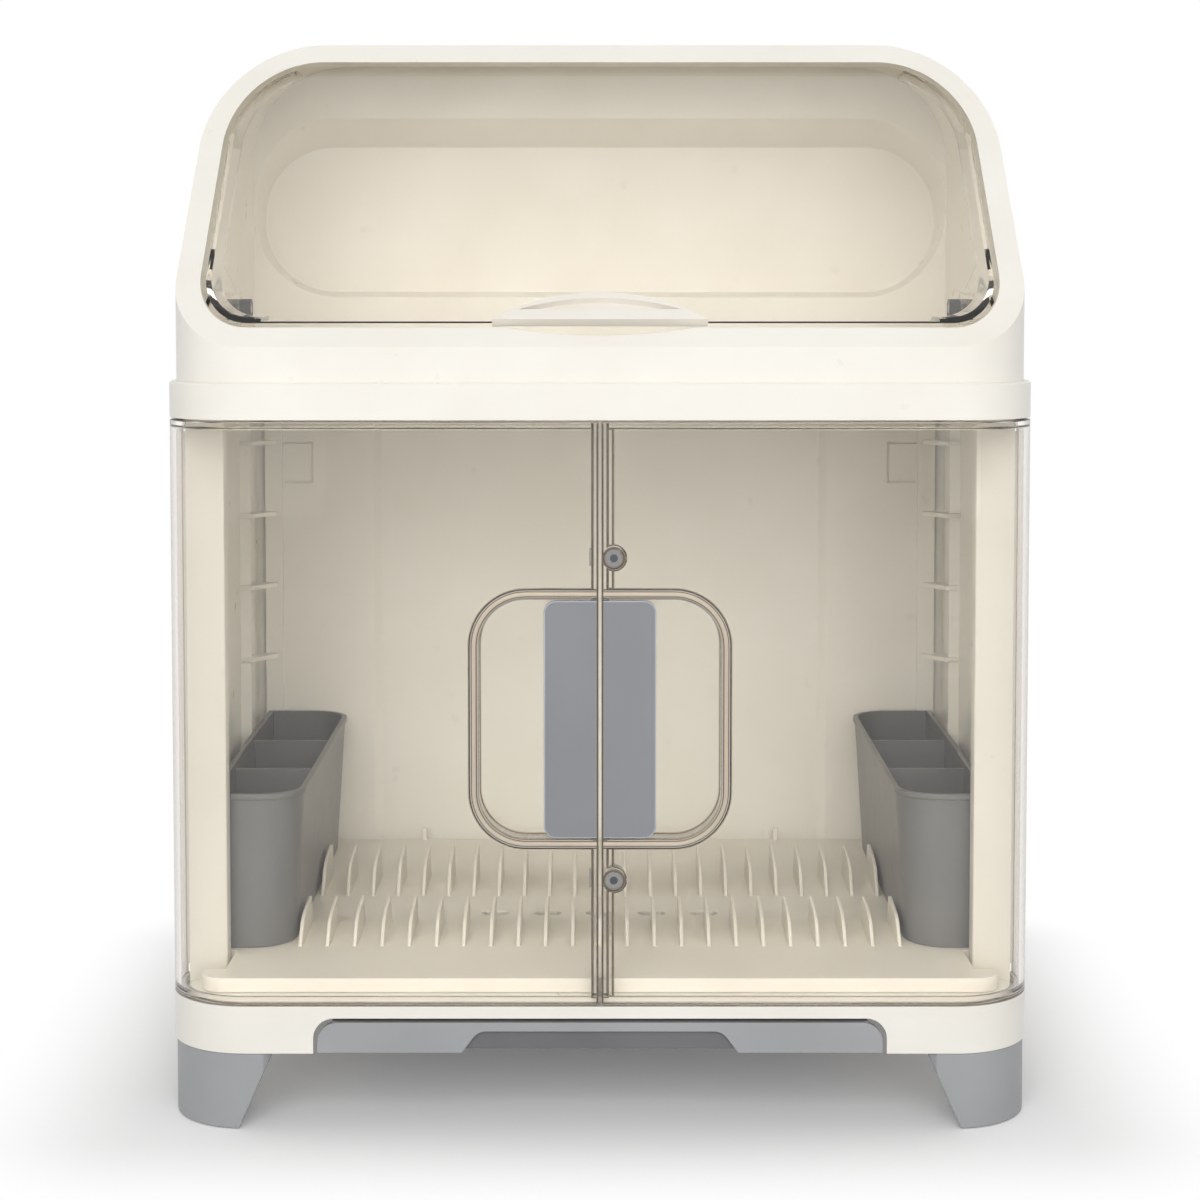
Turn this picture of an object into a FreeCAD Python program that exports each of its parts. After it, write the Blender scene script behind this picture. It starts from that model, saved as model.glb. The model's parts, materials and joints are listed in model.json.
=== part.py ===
import FreeCAD, Part
import math
import os
import re
import Sketcher

# Covered dish drying rack: a base with a drip drawer, a bay behind two clear
# wrap-round doors, a band with a second tray, and a hood with a swing-up lid.
# The front faces -Y, the floor is Z = 0, and X = 0 is the middle.

doc = FreeCAD.newDocument("dish_cabinet")
sheet = doc.addObject("Spreadsheet::Sheet", "Sheet")

# Driving sizes in millimetres, one cell each.
SIZES = {
    "width": 430,
    "depth": 335,
    "corner_front": 40,
    "corner_rear": 14,
    "wall": 3,
    "seat_gap": 0.2,
    # Feet
    "foot_height": 38,
    "foot_inset": 1,
    "foot_top_width": 52,
    "foot_bottom_width": 36,
    "foot_top_depth": 52,
    "foot_bottom_depth": 40,
    "foot_round": 8,
    "foot_bevel": 4,
    "foot_collar": 2,
    # Base and drip drawer
    "base_height": 23.5,
    "plinth_height": 3,
    "plinth_inset": 7.5,
    "deck_opening_width": 250,
    "deck_opening_front": 62,
    "deck_opening_rear_gap": 35,
    "drawer_width": 278,
    "drawer_front_height": 15.5,
    "drawer_front_round": 10,
    "drawer_gap": 2,
    "drawer_front_thickness": 4,
    "drawer_tray_width": 264,
    "drawer_tray_height": 13.5,
    "drawer_rear_gap": 41,
    "drawer_wall": 2,
    "drawer_rim": 4.7,
    "drawer_rim_thickness": 1.5,
    "finger_width": 136,
    "finger_height": 10.6,
    "finger_slant": 8,
    "finger_depth": 12,
    "rail_lip": 4,
    "rail_thickness": 2.5,
    "rail_clearance": 0.8,
    # Bay, side panels and back panel
    "bay_height": 288.5,
    "side_skin": 3.5,
    "side_start": 61,
    "rear_return": 20,
    "pillar_reach": 24.2,
    "pillar_front": 34,
    "pillar_inner_front": 53,
    "pillar_rear": 63.5,
    "pillar_outer": 8,
    "pilaster_front": 246,
    "pilaster_width": 16,
    "pilaster_depth": 7,
    "ledge_count": 4,
    "ledge_first": 133,
    "ledge_pitch": 42.3,
    "ledge_thickness": 2.5,
    "ledge_nose": 3,
    "ledge_reach": 20.8,
    "back_thickness": 3,
    "back_step": 3,
    "back_post": 15.6,
    "back_centre_half": 135,
    "back_slant": 5,
    "hook_width": 18.5,
    "hook_height": 25,
    "hook_groove": 1,
    "hook_drop": 32,
    # Doors
    "door_wall": 3,
    "door_play": 0.8,
    "door_meeting_gap": 1.5,
    "meeting_flange": 12,
    "hinge_setback": 52,
    "hinge_radius": 6,
    "hinge_clearance": 1.6,
    "pin_radius": 2,
    "pin_clearance": 0.05,
    "pin_seat": 8,
    "door_rail_height": 3.4,
    "door_rail_depth": 6,
    "cup_width": 59.2,
    "cup_height": 118,
    "cup_bottom": 106.5,
    "cup_depth": 14,
    "cup_wall": 2.5,
    "cup_round": 23,
    "cup_bead": 5,
    "cup_bead_depth": 5.5,
    "lap_width": 2.6,
    "lap_depth": 5,
    "plate_width": 26.4,
    "plate_height": 117,
    "plate_thickness": 3,
    "plate_gap": 0.3,
    "plate_round": 6,
    "plate_post_half": 3,
    "latch_radius": 6,
    "latch_depth": 12,
    "latch_low": 86,
    "latch_high": 244.7,
    "magnet_radius": 4.4,
    "magnet_thickness": 4.5,
    "catch_thickness": 1.5,
    "catch_radius": 4,
    # Lower tray
    "tray_front": 14,
    "tray_side_gap": 16,
    "tray_rear_side_gap": 11.5,
    "tray_rear_gap": 14,
    "tray_height": 7.5,
    "tray_deck": 2.5,
    "tray_round": 12,
    "tray_notch_margin": 2.5,
    "fin_count": 23,
    "fin_side_gap": 59,
    "fin_thickness": 2,
    "fin_length": 52,
    "fin_front_start": 72.6,
    "fin_front_height": 15,
    "fin_rear_start": 178,
    "fin_rear_height": 19,
    "slot_start": 137.6,
    "slot_length": 16,
    "slot_width": 8,
    "slot_count": 5,
    "slot_span": 113.6,
    "tray_peg_spread": 107,
    # Cutlery holders
    "holder_width": 48.3,
    "holder_side_gap": 12,
    "holder_front": 67,
    "holder_rear_gap": 19,
    "holder_height": 81,
    "holder_draft": 5,
    "holder_round": 22,
    "holder_wall": 2,
    "holder_rim": 1,
    "holder_rim_height": 3,
    "holder_divider_drop": 3,
    # Band and upper tray
    "band_height": 18,
    "band_opening": 22,
    "band_rebate": 12,
    "band_rebate_depth": 8,
    "band_bevel": 1,
    "upper_play": 0.6,
    "upper_rim_thickness": 2.5,
    "upper_pan_depth": 7.5,
    "upper_fin_count": 9,
    "upper_fin_side_gap": 75,
    "upper_fin_length": 87.1,
    "upper_fin_front_start": 53.6,
    "upper_fin_rear_gap": 67,
    "upper_fin_shoulder": 12,
    "upper_fin_height": 14,
    "upper_slot_count": 5,
    "upper_slot_start": 67,
    "upper_slot_length": 53.6,
    # Hood
    "hood_inset": 3.5,
    "lip_height": 17.5,
    "slope_rise": 162,
    "slope_run": 177,
    "arch_radius": 60,
    "hood_rear_round": 14,
    "hood_rear_gap": 35,
    "opening_side": 12,
    "opening_bottom": 9.2,
    "opening_top": 10.3,
    "opening_low_round": 26,
    "recess_low": 38.5,
    "recess_high": 146.1,
    "recess_side": 3.5,
    "recess_round": 50,
    "recess_draft": 3,
    "recess_soffit": 13,
    "scoop_half": 48.5,
    "scoop_drop": 6.2,
    "scoop_round": 280,
    # Lid
    "lid_play": 2,
    "lid_drop": 0.6,
    "lid_thickness": 2.4,
    "lid_skirt": 25,
    "lid_skirt_wall": 2.2,
    "lid_corner_reach": 30,
    "pivot_setback": 147,
    "pivot_rise": 33.5,
    "pivot_radius": 2.6,
    "pivot_boss": 9,
    "hood_boss": 8,
    "clip_length": 6.3,
    "clip_size": 10.5,
    "lid_handle_width": 106,
    "lid_handle_height": 21.5,
    "lid_handle_rise": 5,
    "lid_handle_start": 16.2,
}

for row, (alias, value) in enumerate(SIZES.items(), start=1):
    sheet.set(f"A{row}", str(value))
    sheet.setAlias(f"A{row}", alias)
doc.recompute()


def bound(text):
    """The expression with each size's name pointing at its cell."""
    def cell(match):
        word = match.group(0)
        return "Sheet." + word if word in SIZES else word
    return re.sub(r"[a-z_]+", cell, str(text))


def number(text):
    """The expression's present value."""
    return float(sheet.evalExpression(bound(text).replace("Sheet.", "")))


# Places that several pieces share, worked out from the sizes.
HALF = "(width / 2)"
FRONT = "(-depth / 2)"
BASE_TOP = "(foot_height + base_height)"
DECK_TOP = "(foot_height + base_height + plinth_height)"
BAND_BOTTOM = "(foot_height + base_height + bay_height)"
BAND_TOP = "(foot_height + base_height + bay_height + band_height)"
HINGE_X = "(width / 2 - hinge_radius)"
HINGE_Y = "(hinge_setback - depth / 2)"
TRAY_TOP = "(foot_height + base_height + plinth_height + tray_height)"
SLOPE_START = "(hood_inset - depth / 2)"
LIP_TOP = f"({BAND_TOP} + lip_height)"
HOOD_TOP = f"({BAND_TOP} + lip_height + slope_rise)"
SLOPE_LENGTH = "(sqrt(slope_rise ^ 2 + slope_run ^ 2))"
PIVOT_Y = "(pivot_setback - depth / 2)"
PIVOT_Z = f"({BAND_TOP} + pivot_rise)"
DECK_OPENING_REAR = "(depth - deck_opening_rear_gap)"
DRAWER_REAR = "(depth - drawer_rear_gap)"
TRAY_SIDE = "(width / 2 - tray_side_gap)"
TRAY_REAR_SIDE = "(width / 2 - tray_rear_side_gap)"
TRAY_REAR = "(depth - tray_rear_gap)"
FIN_SPAN = "(width - 2 * fin_side_gap)"
HOLDER_OUTER = "(width / 2 - holder_side_gap)"
HOLDER_INNER = "(width / 2 - holder_side_gap - holder_width)"
HOLDER_REAR = "(depth - holder_rear_gap)"
UPPER_FIN_SPAN = "(width - 2 * upper_fin_side_gap)"
HOOD_REAR_WALL = "(depth - hood_rear_gap)"


def behind(distance):
    """A place along Y, given as a distance behind the front."""
    return f"({distance}) - depth / 2"


# Sketches, features and primitives

def new_body(label):
    body = doc.addObject("PartDesign::Body", label)
    body.Label = label
    return body


def new_sketch(body, name, role, level):
    """A sketch on one of the body's own planes, moved to a level along its axis."""
    plane = [item for item in body.Origin.OriginFeatures if item.Role == role][0]
    sketch = body.newObject("Sketcher::SketchObject", name)
    sketch.AttachmentSupport = [(plane, "")]
    sketch.MapMode = "FlatFace"
    shift = f"-({level})" if role == "XZ_Plane" else f"({level})"
    sketch.setExpression("AttachmentOffset.Base.z", bound(shift))
    return sketch


def drive(sketch, kind, where, expression):
    """A dimension of the sketch that follows the sheet."""
    index = sketch.addConstraint(Sketcher.Constraint(kind, *where, number(expression)))
    name = f"size_{index}"
    sketch.renameConstraint(index, name)
    sketch.setExpression(f"Constraints.{name}", bound(expression))


def pin_point(sketch, geometry, position, x, y):
    drive(sketch, "DistanceX", (-1, 1, geometry, position), x)
    drive(sketch, "DistanceY", (-1, 1, geometry, position), y)


def signed_area(points):
    total = 0.0
    for here, there in zip(points, points[1:] + points[:1]):
        total += here[0] * there[1] - there[0] * here[1]
    return total / 2


def outline(body, name, role, level, corners):
    """A closed outline: each corner is x, y and, where it is rounded, a radius."""
    sketch = new_sketch(body, name, role, level)
    add_outline(sketch, corners)
    return sketch


def add_outline(sketch, corners):
    spots = [(number(c[0]), number(c[1])) for c in corners]
    if signed_area(spots) < 0:
        corners = corners[::-1]
        spots = spots[::-1]
    count = len(corners)
    starts, ends, rounds = [], [], []
    for i, corner in enumerate(corners):
        here = FreeCAD.Vector(*spots[i], 0)
        if len(corner) < 3:
            starts.append(here)
            ends.append(here)
            rounds.append(None)
            continue
        before = (FreeCAD.Vector(*spots[i - 1], 0) - here).normalize()
        after = (FreeCAD.Vector(*spots[(i + 1) % count], 0) - here).normalize()
        half = before.getAngle(after) / 2
        radius = number(corner[2])
        reach = radius / math.tan(half)
        middle = here + (before + after).normalize() * (radius / math.sin(half))
        ends.append(here + before * reach)
        starts.append(here + after * reach)
        rounds.append((middle, radius, before.cross(after).z < 0))
    lines = []
    for i in range(count):
        segment = Part.LineSegment(starts[i], ends[(i + 1) % count])
        lines.append(sketch.addGeometry(segment, False))
    for i, corner in enumerate(corners):
        into, out = lines[i - 1], lines[i]
        if rounds[i] is None:
            sketch.addConstraint(Sketcher.Constraint("Coincident", into, 2, out, 1))
            pin_point(sketch, out, 1, corner[0], corner[1])
            continue
        middle, radius, left_turn = rounds[i]
        first, last = (ends[i], starts[i]) if left_turn else (starts[i], ends[i])
        first_angle = math.atan2(first.y - middle.y, first.x - middle.x)
        last_angle = math.atan2(last.y - middle.y, last.x - middle.x)
        circle = Part.Circle(middle, FreeCAD.Vector(0, 0, 1), radius)
        arc = sketch.addGeometry(Part.ArcOfCircle(circle, first_angle, last_angle), False)
        near, far = (1, 2) if left_turn else (2, 1)
        sharp = sketch.addGeometry(Part.Point(FreeCAD.Vector(*spots[i], 0)), True)
        sketch.addConstraint(Sketcher.Constraint("Tangent", into, 2, arc, near))
        sketch.addConstraint(Sketcher.Constraint("Tangent", arc, far, out, 1))
        sketch.addConstraint(Sketcher.Constraint("PointOnObject", sharp, 1, into))
        sketch.addConstraint(Sketcher.Constraint("PointOnObject", sharp, 1, out))
        pin_point(sketch, sharp, 1, corner[0], corner[1])
        drive(sketch, "Radius", (arc,), corner[2])


def circles(body, name, role, level, centres, radius):
    sketch = new_sketch(body, name, role, level)
    for x, y in centres:
        spot = FreeCAD.Vector(number(x), number(y), 0)
        circle = Part.Circle(spot, FreeCAD.Vector(0, 0, 1), number(radius))
        ring = sketch.addGeometry(circle, False)
        pin_point(sketch, ring, 3, x, y)
        drive(sketch, "Radius", (ring,), radius)
    return sketch


def segment(body, name, role, level, half_chord, base, rise):
    """A circle segment standing on a level chord."""
    sketch = new_sketch(body, name, role, level)
    radius = f"(({half_chord}) ^ 2 + ({rise}) ^ 2) / (2 * ({rise}))"
    chord, height = number(half_chord), number(base)
    size = number(radius)
    middle = FreeCAD.Vector(0, height + number(rise) - size, 0)
    swing = math.asin(chord / size)
    upright = math.pi / 2
    circle = Part.Circle(middle, FreeCAD.Vector(0, 0, 1), size)
    arc = sketch.addGeometry(Part.ArcOfCircle(circle, upright - swing, upright + swing), False)
    left = FreeCAD.Vector(-chord, height, 0)
    right = FreeCAD.Vector(chord, height, 0)
    line = sketch.addGeometry(Part.LineSegment(left, right), False)
    sketch.addConstraint(Sketcher.Constraint("Coincident", arc, 2, line, 1))
    sketch.addConstraint(Sketcher.Constraint("Coincident", arc, 1, line, 2))
    pin_point(sketch, line, 1, f"-({half_chord})", base)
    pin_point(sketch, line, 2, half_chord, base)
    drive(sketch, "Radius", (arc,), radius)
    return sketch


def rectangle(x_low, x_high, y_low, y_high, radius=None):
    extra = () if radius is None else (radius,)
    return [
        (x_low, y_low, *extra),
        (x_high, y_low, *extra),
        (x_high, y_high, *extra),
        (x_low, y_high, *extra),
    ]


def square(centre, reach):
    """A square outline round a centre."""
    x, y = centre
    return rectangle(f"{x} - ({reach})", f"{x} + ({reach})", f"{y} - ({reach})", f"{y} + ({reach})")


def mirrored_points(points):
    return [(f"-({p[0]})", *p[1:]) for p in points]


def pad(body, name, sketch, length, symmetric=False, reverse=False):
    feature = body.newObject("PartDesign::Pad", name)
    feature.Profile = sketch
    feature.setExpression("Length", bound(length))
    if symmetric:
        feature.SideType = "Symmetric"
    feature.Reversed = reverse
    return feature


def pocket(body, name, sketch, length, symmetric=False, reverse=False):
    """A cut that is checked to take material away."""
    doc.recompute()
    before = body.Shape.Volume
    feature = body.newObject("PartDesign::Pocket", name)
    feature.Profile = sketch
    feature.setExpression("Length", bound(length))
    if symmetric:
        feature.SideType = "Symmetric"
    feature.Reversed = reverse
    doc.recompute()
    if not body.Shape.Volume < before - 0.01:
        raise RuntimeError(f"{name} cuts nothing")
    return feature


def loft(body, name, first, *others, kind="Additive"):
    feature = body.newObject(f"PartDesign::{kind}Loft", name)
    feature.Profile = first
    feature.Sections = list(others)
    feature.Ruled = True
    return feature


def repeat(body, name, feature, role, span, count):
    axis = [item for item in body.Origin.OriginFeatures if item.Role == role][0]
    pattern = body.newObject("PartDesign::LinearPattern", name)
    pattern.Originals = [feature]
    pattern.Direction = (axis, [""])
    pattern.setExpression("Length", bound(span))
    pattern.setExpression("Occurrences", bound(count))
    body.Tip = pattern
    return pattern


def dress(body, name, kind, side, size, chosen):
    """Rounds or bevels the edges of the body that the test picks."""
    doc.recompute()
    base = body.Tip
    edges = [f"Edge{i}" for i, edge in enumerate(base.Shape.Edges, start=1) if chosen(edge)]
    feature = body.newObject(f"PartDesign::{kind}", name)
    feature.Base = (base, edges)
    feature.setExpression(side, bound(size))
    return feature


def fillet(body, name, radius, chosen):
    return dress(body, name, "Fillet", "Radius", radius, chosen)


def chamfer(body, name, size, chosen):
    return dress(body, name, "Chamfer", "Size", size, chosen)


def box(name, x, y, z):
    """A block between two places on each axis."""
    item = doc.addObject("Part::Box", name)
    for side, axis, (low, high) in (("Length", "x", x), ("Width", "y", y), ("Height", "z", z)):
        item.setExpression(side, bound(f"({high}) - ({low})"))
        item.setExpression(f"Placement.Base.{axis}", bound(low))
    return item


def rod(name, along, radius, length, x, y, z):
    """A round bar that starts at a place and runs along X, Y or Z."""
    turn = {"X": (0, 90, 0), "Y": (0, 0, -90), "Z": (0, 0, 0)}[along]
    item = doc.addObject("Part::Cylinder", name)
    item.Placement = FreeCAD.Placement(FreeCAD.Vector(), FreeCAD.Rotation(*turn))
    item.setExpression("Radius", bound(radius))
    item.setExpression("Height", bound(length))
    for axis, place in (("x", x), ("y", y), ("z", z)):
        item.setExpression(f"Placement.Base.{axis}", bound(place))
    return item


def cut(name, base, tool):
    item = doc.addObject("Part::Cut", name)
    item.Base = base
    item.Tool = tool
    return item


def fuse(name, shapes):
    item = doc.addObject("Part::MultiFuse", name)
    item.Shapes = shapes
    return item


def common(name, shapes):
    item = doc.addObject("Part::MultiCommon", name)
    item.Shapes = shapes
    return item


def group(name, links):
    item = doc.addObject("Part::Compound", name)
    item.Links = links
    return item


def mirror(name, source):
    item = doc.addObject("Part::Mirroring", name)
    item.Source = source
    item.Normal = FreeCAD.Vector(1, 0, 0)
    return item


nodes = []


def node(item, label):
    item.Label = label
    nodes.append(item)
    return item


def plan(inset):
    """The cabinet's plan outline, drawn in by a distance."""
    x = f"({HALF} - ({inset}))"
    y = f"(depth / 2 - ({inset}))"
    front = f"max(corner_front - ({inset}); 3)"
    rear = f"max(corner_rear - ({inset}); 3)"
    return [
        (f"-{x}", f"-{y}", front),
        (x, f"-{y}", front),
        (x, y, rear),
        (f"-{x}", y, rear),
    ]


def bay_plan(inset):
    """The plan outline inside the hood: the rear side stays before its rear wall."""
    x = f"({HALF} - ({inset}))"
    front = f"max(corner_front - ({inset}); 3)"
    rear_y = f"({HOOD_REAR_WALL} + wall - ({inset}) - depth / 2)"
    front_y = f"(({inset}) - depth / 2)"
    rear = f"max(corner_rear - ({inset}); 5)"
    return [(f"-{x}", front_y, front), (x, front_y, front), (x, rear_y, rear),
            (f"-{x}", rear_y, rear)]


def level_edge(edge, height):
    box_ = edge.BoundBox
    return abs(box_.ZMin - height) < 0.01 and abs(box_.ZMax - height) < 0.01


# Base frame: an upside-down moulded pan with a raised plinth inside the doors,
# a deck opening over the drawer, drawer rails, foot plates and hinge bosses.
def corner_outline(sign_x, sign_y, wide, deep, inset, outer_round):
    x_out = f"{sign_x} * ({HALF} - ({inset}))"
    x_in = f"{sign_x} * ({HALF} - ({inset}) - ({wide}))"
    y_out = f"{sign_y} * (depth / 2 - ({inset}))"
    y_in = f"{sign_y} * (depth / 2 - ({inset}) - ({deep}))"
    cut_x = f"{sign_x} * foot_bevel"
    cut_y = f"{sign_y} * foot_bevel"
    return [
        (x_out, y_out, outer_round),
        (f"{x_in} + {cut_x}", y_out),
        (x_in, f"{y_out} - {cut_y}"),
        (x_in, f"{y_in} + {cut_y}"),
        (f"{x_in} + {cut_x}", y_in),
        (f"{x_out} - {cut_x}", y_in),
        (x_out, f"{y_in} + {cut_y}"),
    ]


def make_base():
    body = new_body("base_frame")
    pad(body, "base_rim", outline(body, "rim_plan", "XY_Plane", "foot_height", plan("0")),
        "base_height")
    pad(body, "base_plinth",
        outline(body, "plinth_plan", "XY_Plane", BASE_TOP, plan("plinth_inset")),
        "plinth_height")
    pocket(body, "base_hollow",
           outline(body, "hollow_plan", "XY_Plane", "foot_height", plan("wall")),
           "base_height - wall", reverse=True)
    pocket(body, "plinth_hollow",
           outline(body, "plinth_hollow_plan", "XY_Plane", f"{BASE_TOP} - wall",
                   plan("plinth_inset + wall")),
           "plinth_height", reverse=True)
    half_opening = "deck_opening_width / 2"
    pocket(body, "deck_opening",
           outline(body, "opening_plan", "XY_Plane", DECK_TOP,
                   rectangle(f"-{half_opening}", half_opening, behind("deck_opening_front"),
                             behind(DECK_OPENING_REAR))),
           "plinth_height + wall")
    drawer_half = "(drawer_width / 2 + drawer_gap)"
    drawer_high = "foot_height + drawer_front_height + drawer_gap"
    pocket(body, "drawer_opening",
           outline(body, "drawer_opening_front", "XZ_Plane", FRONT, [
               (f"-{drawer_half}", "foot_height - 1"),
               (drawer_half, "foot_height - 1"),
               (drawer_half, drawer_high, "drawer_front_round"),
               (f"-{drawer_half}", drawer_high, "drawer_front_round"),
           ]), "wall + 1")
    for sign_x in (-1, 1):
        side = "left" if sign_x < 0 else "right"
        for sign_y in (-1, 1):
            end = "front" if sign_y < 0 else "rear"
            radius = f"(corner_{end} - foot_inset)"
            plate = outline(body, f"foot_plate_{end}_{side}", "XY_Plane", "foot_height",
                            corner_outline(sign_x, sign_y, "foot_top_width", "foot_top_depth",
                                           "foot_inset", radius))
            pad(body, f"foot_seat_{end}_{side}", plate, "wall")
        rim_low = "(foot_height + drawer_front_height - drawer_rim_thickness)"
        lip_high = f"{rim_low} - seat_gap"
        wall_x = "(drawer_tray_width / 2 + drawer_rim + rail_clearance)"
        lip_x = f"({wall_x} - rail_lip)"
        out_x = f"({wall_x} + rail_thickness)"
        points = [
            (f"{sign_x} * {lip_x}", f"{lip_high} - rail_thickness"),
            (f"{sign_x} * {out_x}", f"{lip_high} - rail_thickness"),
            (f"{sign_x} * {out_x}", f"{DECK_TOP} - wall / 2"),
            (f"{sign_x} * {wall_x}", f"{DECK_TOP} - wall / 2"),
            (f"{sign_x} * {wall_x}", lip_high),
            (f"{sign_x} * {lip_x}", lip_high),
        ]
        pad(body, f"drawer_rail_{side}",
            outline(body, f"rail_profile_{side}", "XZ_Plane", behind("finger_depth + 8"), points),
            f"{DECK_OPENING_REAR} - finger_depth - 8", reverse=True)
        spot = (f"{sign_x} * {HINGE_X}", HINGE_Y)
        pad(body, f"hinge_boss_{side}",
            outline(body, f"hinge_boss_plan_{side}", "XY_Plane", f"{BASE_TOP} - wall",
                    square(spot, "pin_radius + wall")), "pin_seat", reverse=True)
        pocket(body, f"hinge_relief_{side}",
               outline(body, f"hinge_relief_plan_{side}", "XY_Plane", DECK_TOP,
                       square(spot, "hinge_radius + hinge_clearance")), "plinth_height")
        pocket(body, f"hinge_bore_{side}",
               circles(body, f"hinge_bore_plan_{side}", "XY_Plane", BASE_TOP, [spot],
                       "pin_radius + pin_clearance"), "pin_seat")
    node(body, "base_frame")


make_base()


# Feet: four moulded feet under the corners, upright on their outer sides and
# drawn in towards the floor on their inner sides.
def draw_in(body, name, role, sign, outer, top, bottom):
    """Slopes one inner side of a foot."""
    edge = f"({outer} - foot_inset)"
    far = f"{sign} * ({edge} - ({top}) - foot_round)"
    side = [
        (far, "foot_height - foot_collar"),
        (f"{sign} * ({edge} - ({top}))", "foot_height - foot_collar"),
        (f"{sign} * ({edge} - ({bottom}))", "0"),
        (far, "0"),
    ]
    pocket(body, name, outline(body, f"{name}_line", role, "0", side), "2 * width",
           symmetric=True)


def make_foot(sign_x, sign_y):
    end = "front" if sign_y < 0 else "rear"
    side = "left" if sign_x < 0 else "right"
    name = f"foot_{end}_{side}"
    body = new_body(name)
    pad(body, f"{name}_block",
        outline(body, f"{name}_plan", "XY_Plane", "0",
                corner_outline(sign_x, sign_y, "foot_top_width", "foot_top_depth",
                               "foot_inset", f"(corner_{end} - foot_inset)")),
        "foot_height")
    draw_in(body, f"{name}_inner", "XZ_Plane", sign_x, HALF, "foot_top_width",
            "foot_bottom_width")
    draw_in(body, f"{name}_back", "YZ_Plane", sign_y, "(depth / 2)", "foot_top_depth",
            "foot_bottom_depth")
    node(body, name)


for sign_y in (-1, 1):
    for sign_x in (-1, 1):
        make_foot(sign_x, sign_y)


# Drip drawer: a shallow tray that hangs by its rims on the base rails, with a
# flush front and a finger cut-out under its middle.
def make_drawer():
    body = new_body("drip_drawer")
    low = "(foot_height + 0.5)"
    top = "(foot_height + drawer_front_height)"
    half = "(drawer_width / 2)"
    finger = "(finger_width / 2)"
    start = behind("seat_gap")
    front = outline(body, "drawer_face", "XZ_Plane", start, [
        (f"-{half}", low),
        (f"-{finger}", low),
        (f"-({finger} - finger_slant)", f"{low} + finger_height", "finger_slant"),
        (f"{finger} - finger_slant", f"{low} + finger_height", "finger_slant"),
        (finger, low),
        (half, low),
        (half, top, "drawer_front_round"),
        (f"-{half}", top, "drawer_front_round"),
    ])
    pad(body, "drawer_front", front, "drawer_front_thickness", reverse=True)
    tray_half = "(drawer_tray_width / 2)"
    tray_low = f"({top} - drawer_tray_height)"
    inner_start = behind("seat_gap + drawer_front_thickness / 2")
    tray = outline(body, "drawer_tray_plan", "XY_Plane", tray_low,
                   rectangle(f"-{tray_half}", tray_half, inner_start, behind(DRAWER_REAR)))
    pad(body, "drawer_tray", tray, "drawer_tray_height")
    rim_half = f"({tray_half} + drawer_rim)"
    rim = outline(body, "drawer_rim_plan", "XY_Plane", f"{top} - drawer_rim_thickness",
                  rectangle(f"-{rim_half}", rim_half, behind("finger_depth + 8"),
                            behind(DRAWER_REAR)))
    pad(body, "drawer_rims", rim, "drawer_rim_thickness")
    well_front = "(drawer_front_thickness + finger_depth + drawer_wall)"
    well = outline(body, "drawer_well_plan", "XY_Plane", top,
                   rectangle(f"-({tray_half} - drawer_wall)", f"{tray_half} - drawer_wall",
                             behind(well_front), behind(f"{DRAWER_REAR} - drawer_wall")))
    pocket(body, "drawer_well", well, "drawer_tray_height - drawer_wall")
    pull_edge = f"({finger} - finger_slant)"
    pull = outline(body, "drawer_pull_plan", "XY_Plane", f"{tray_low} - 1",
                   rectangle(f"-{pull_edge}", pull_edge, behind("drawer_front_thickness"),
                             behind("drawer_front_thickness + finger_depth - drawer_wall")))
    pocket(body, "drawer_pull", pull, "drawer_tray_height - drawer_wall + 1", reverse=True)
    for sign in (-1, 1):
        side = "left" if sign < 0 else "right"
        core = outline(body, f"drawer_core_plan_{side}", "XY_Plane", f"{tray_low} - 1",
                       rectangle(f"{sign} * ({pull_edge} + drawer_wall)",
                                 f"{sign} * ({tray_half} - drawer_wall)",
                                 behind("drawer_front_thickness + drawer_wall"),
                                 behind("drawer_front_thickness + finger_depth - drawer_wall")))
        pocket(body, f"drawer_core_{side}", core, "drawer_tray_height - drawer_wall + 1",
               reverse=True)
    node(body, "drip_drawer")


make_drawer()


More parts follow.
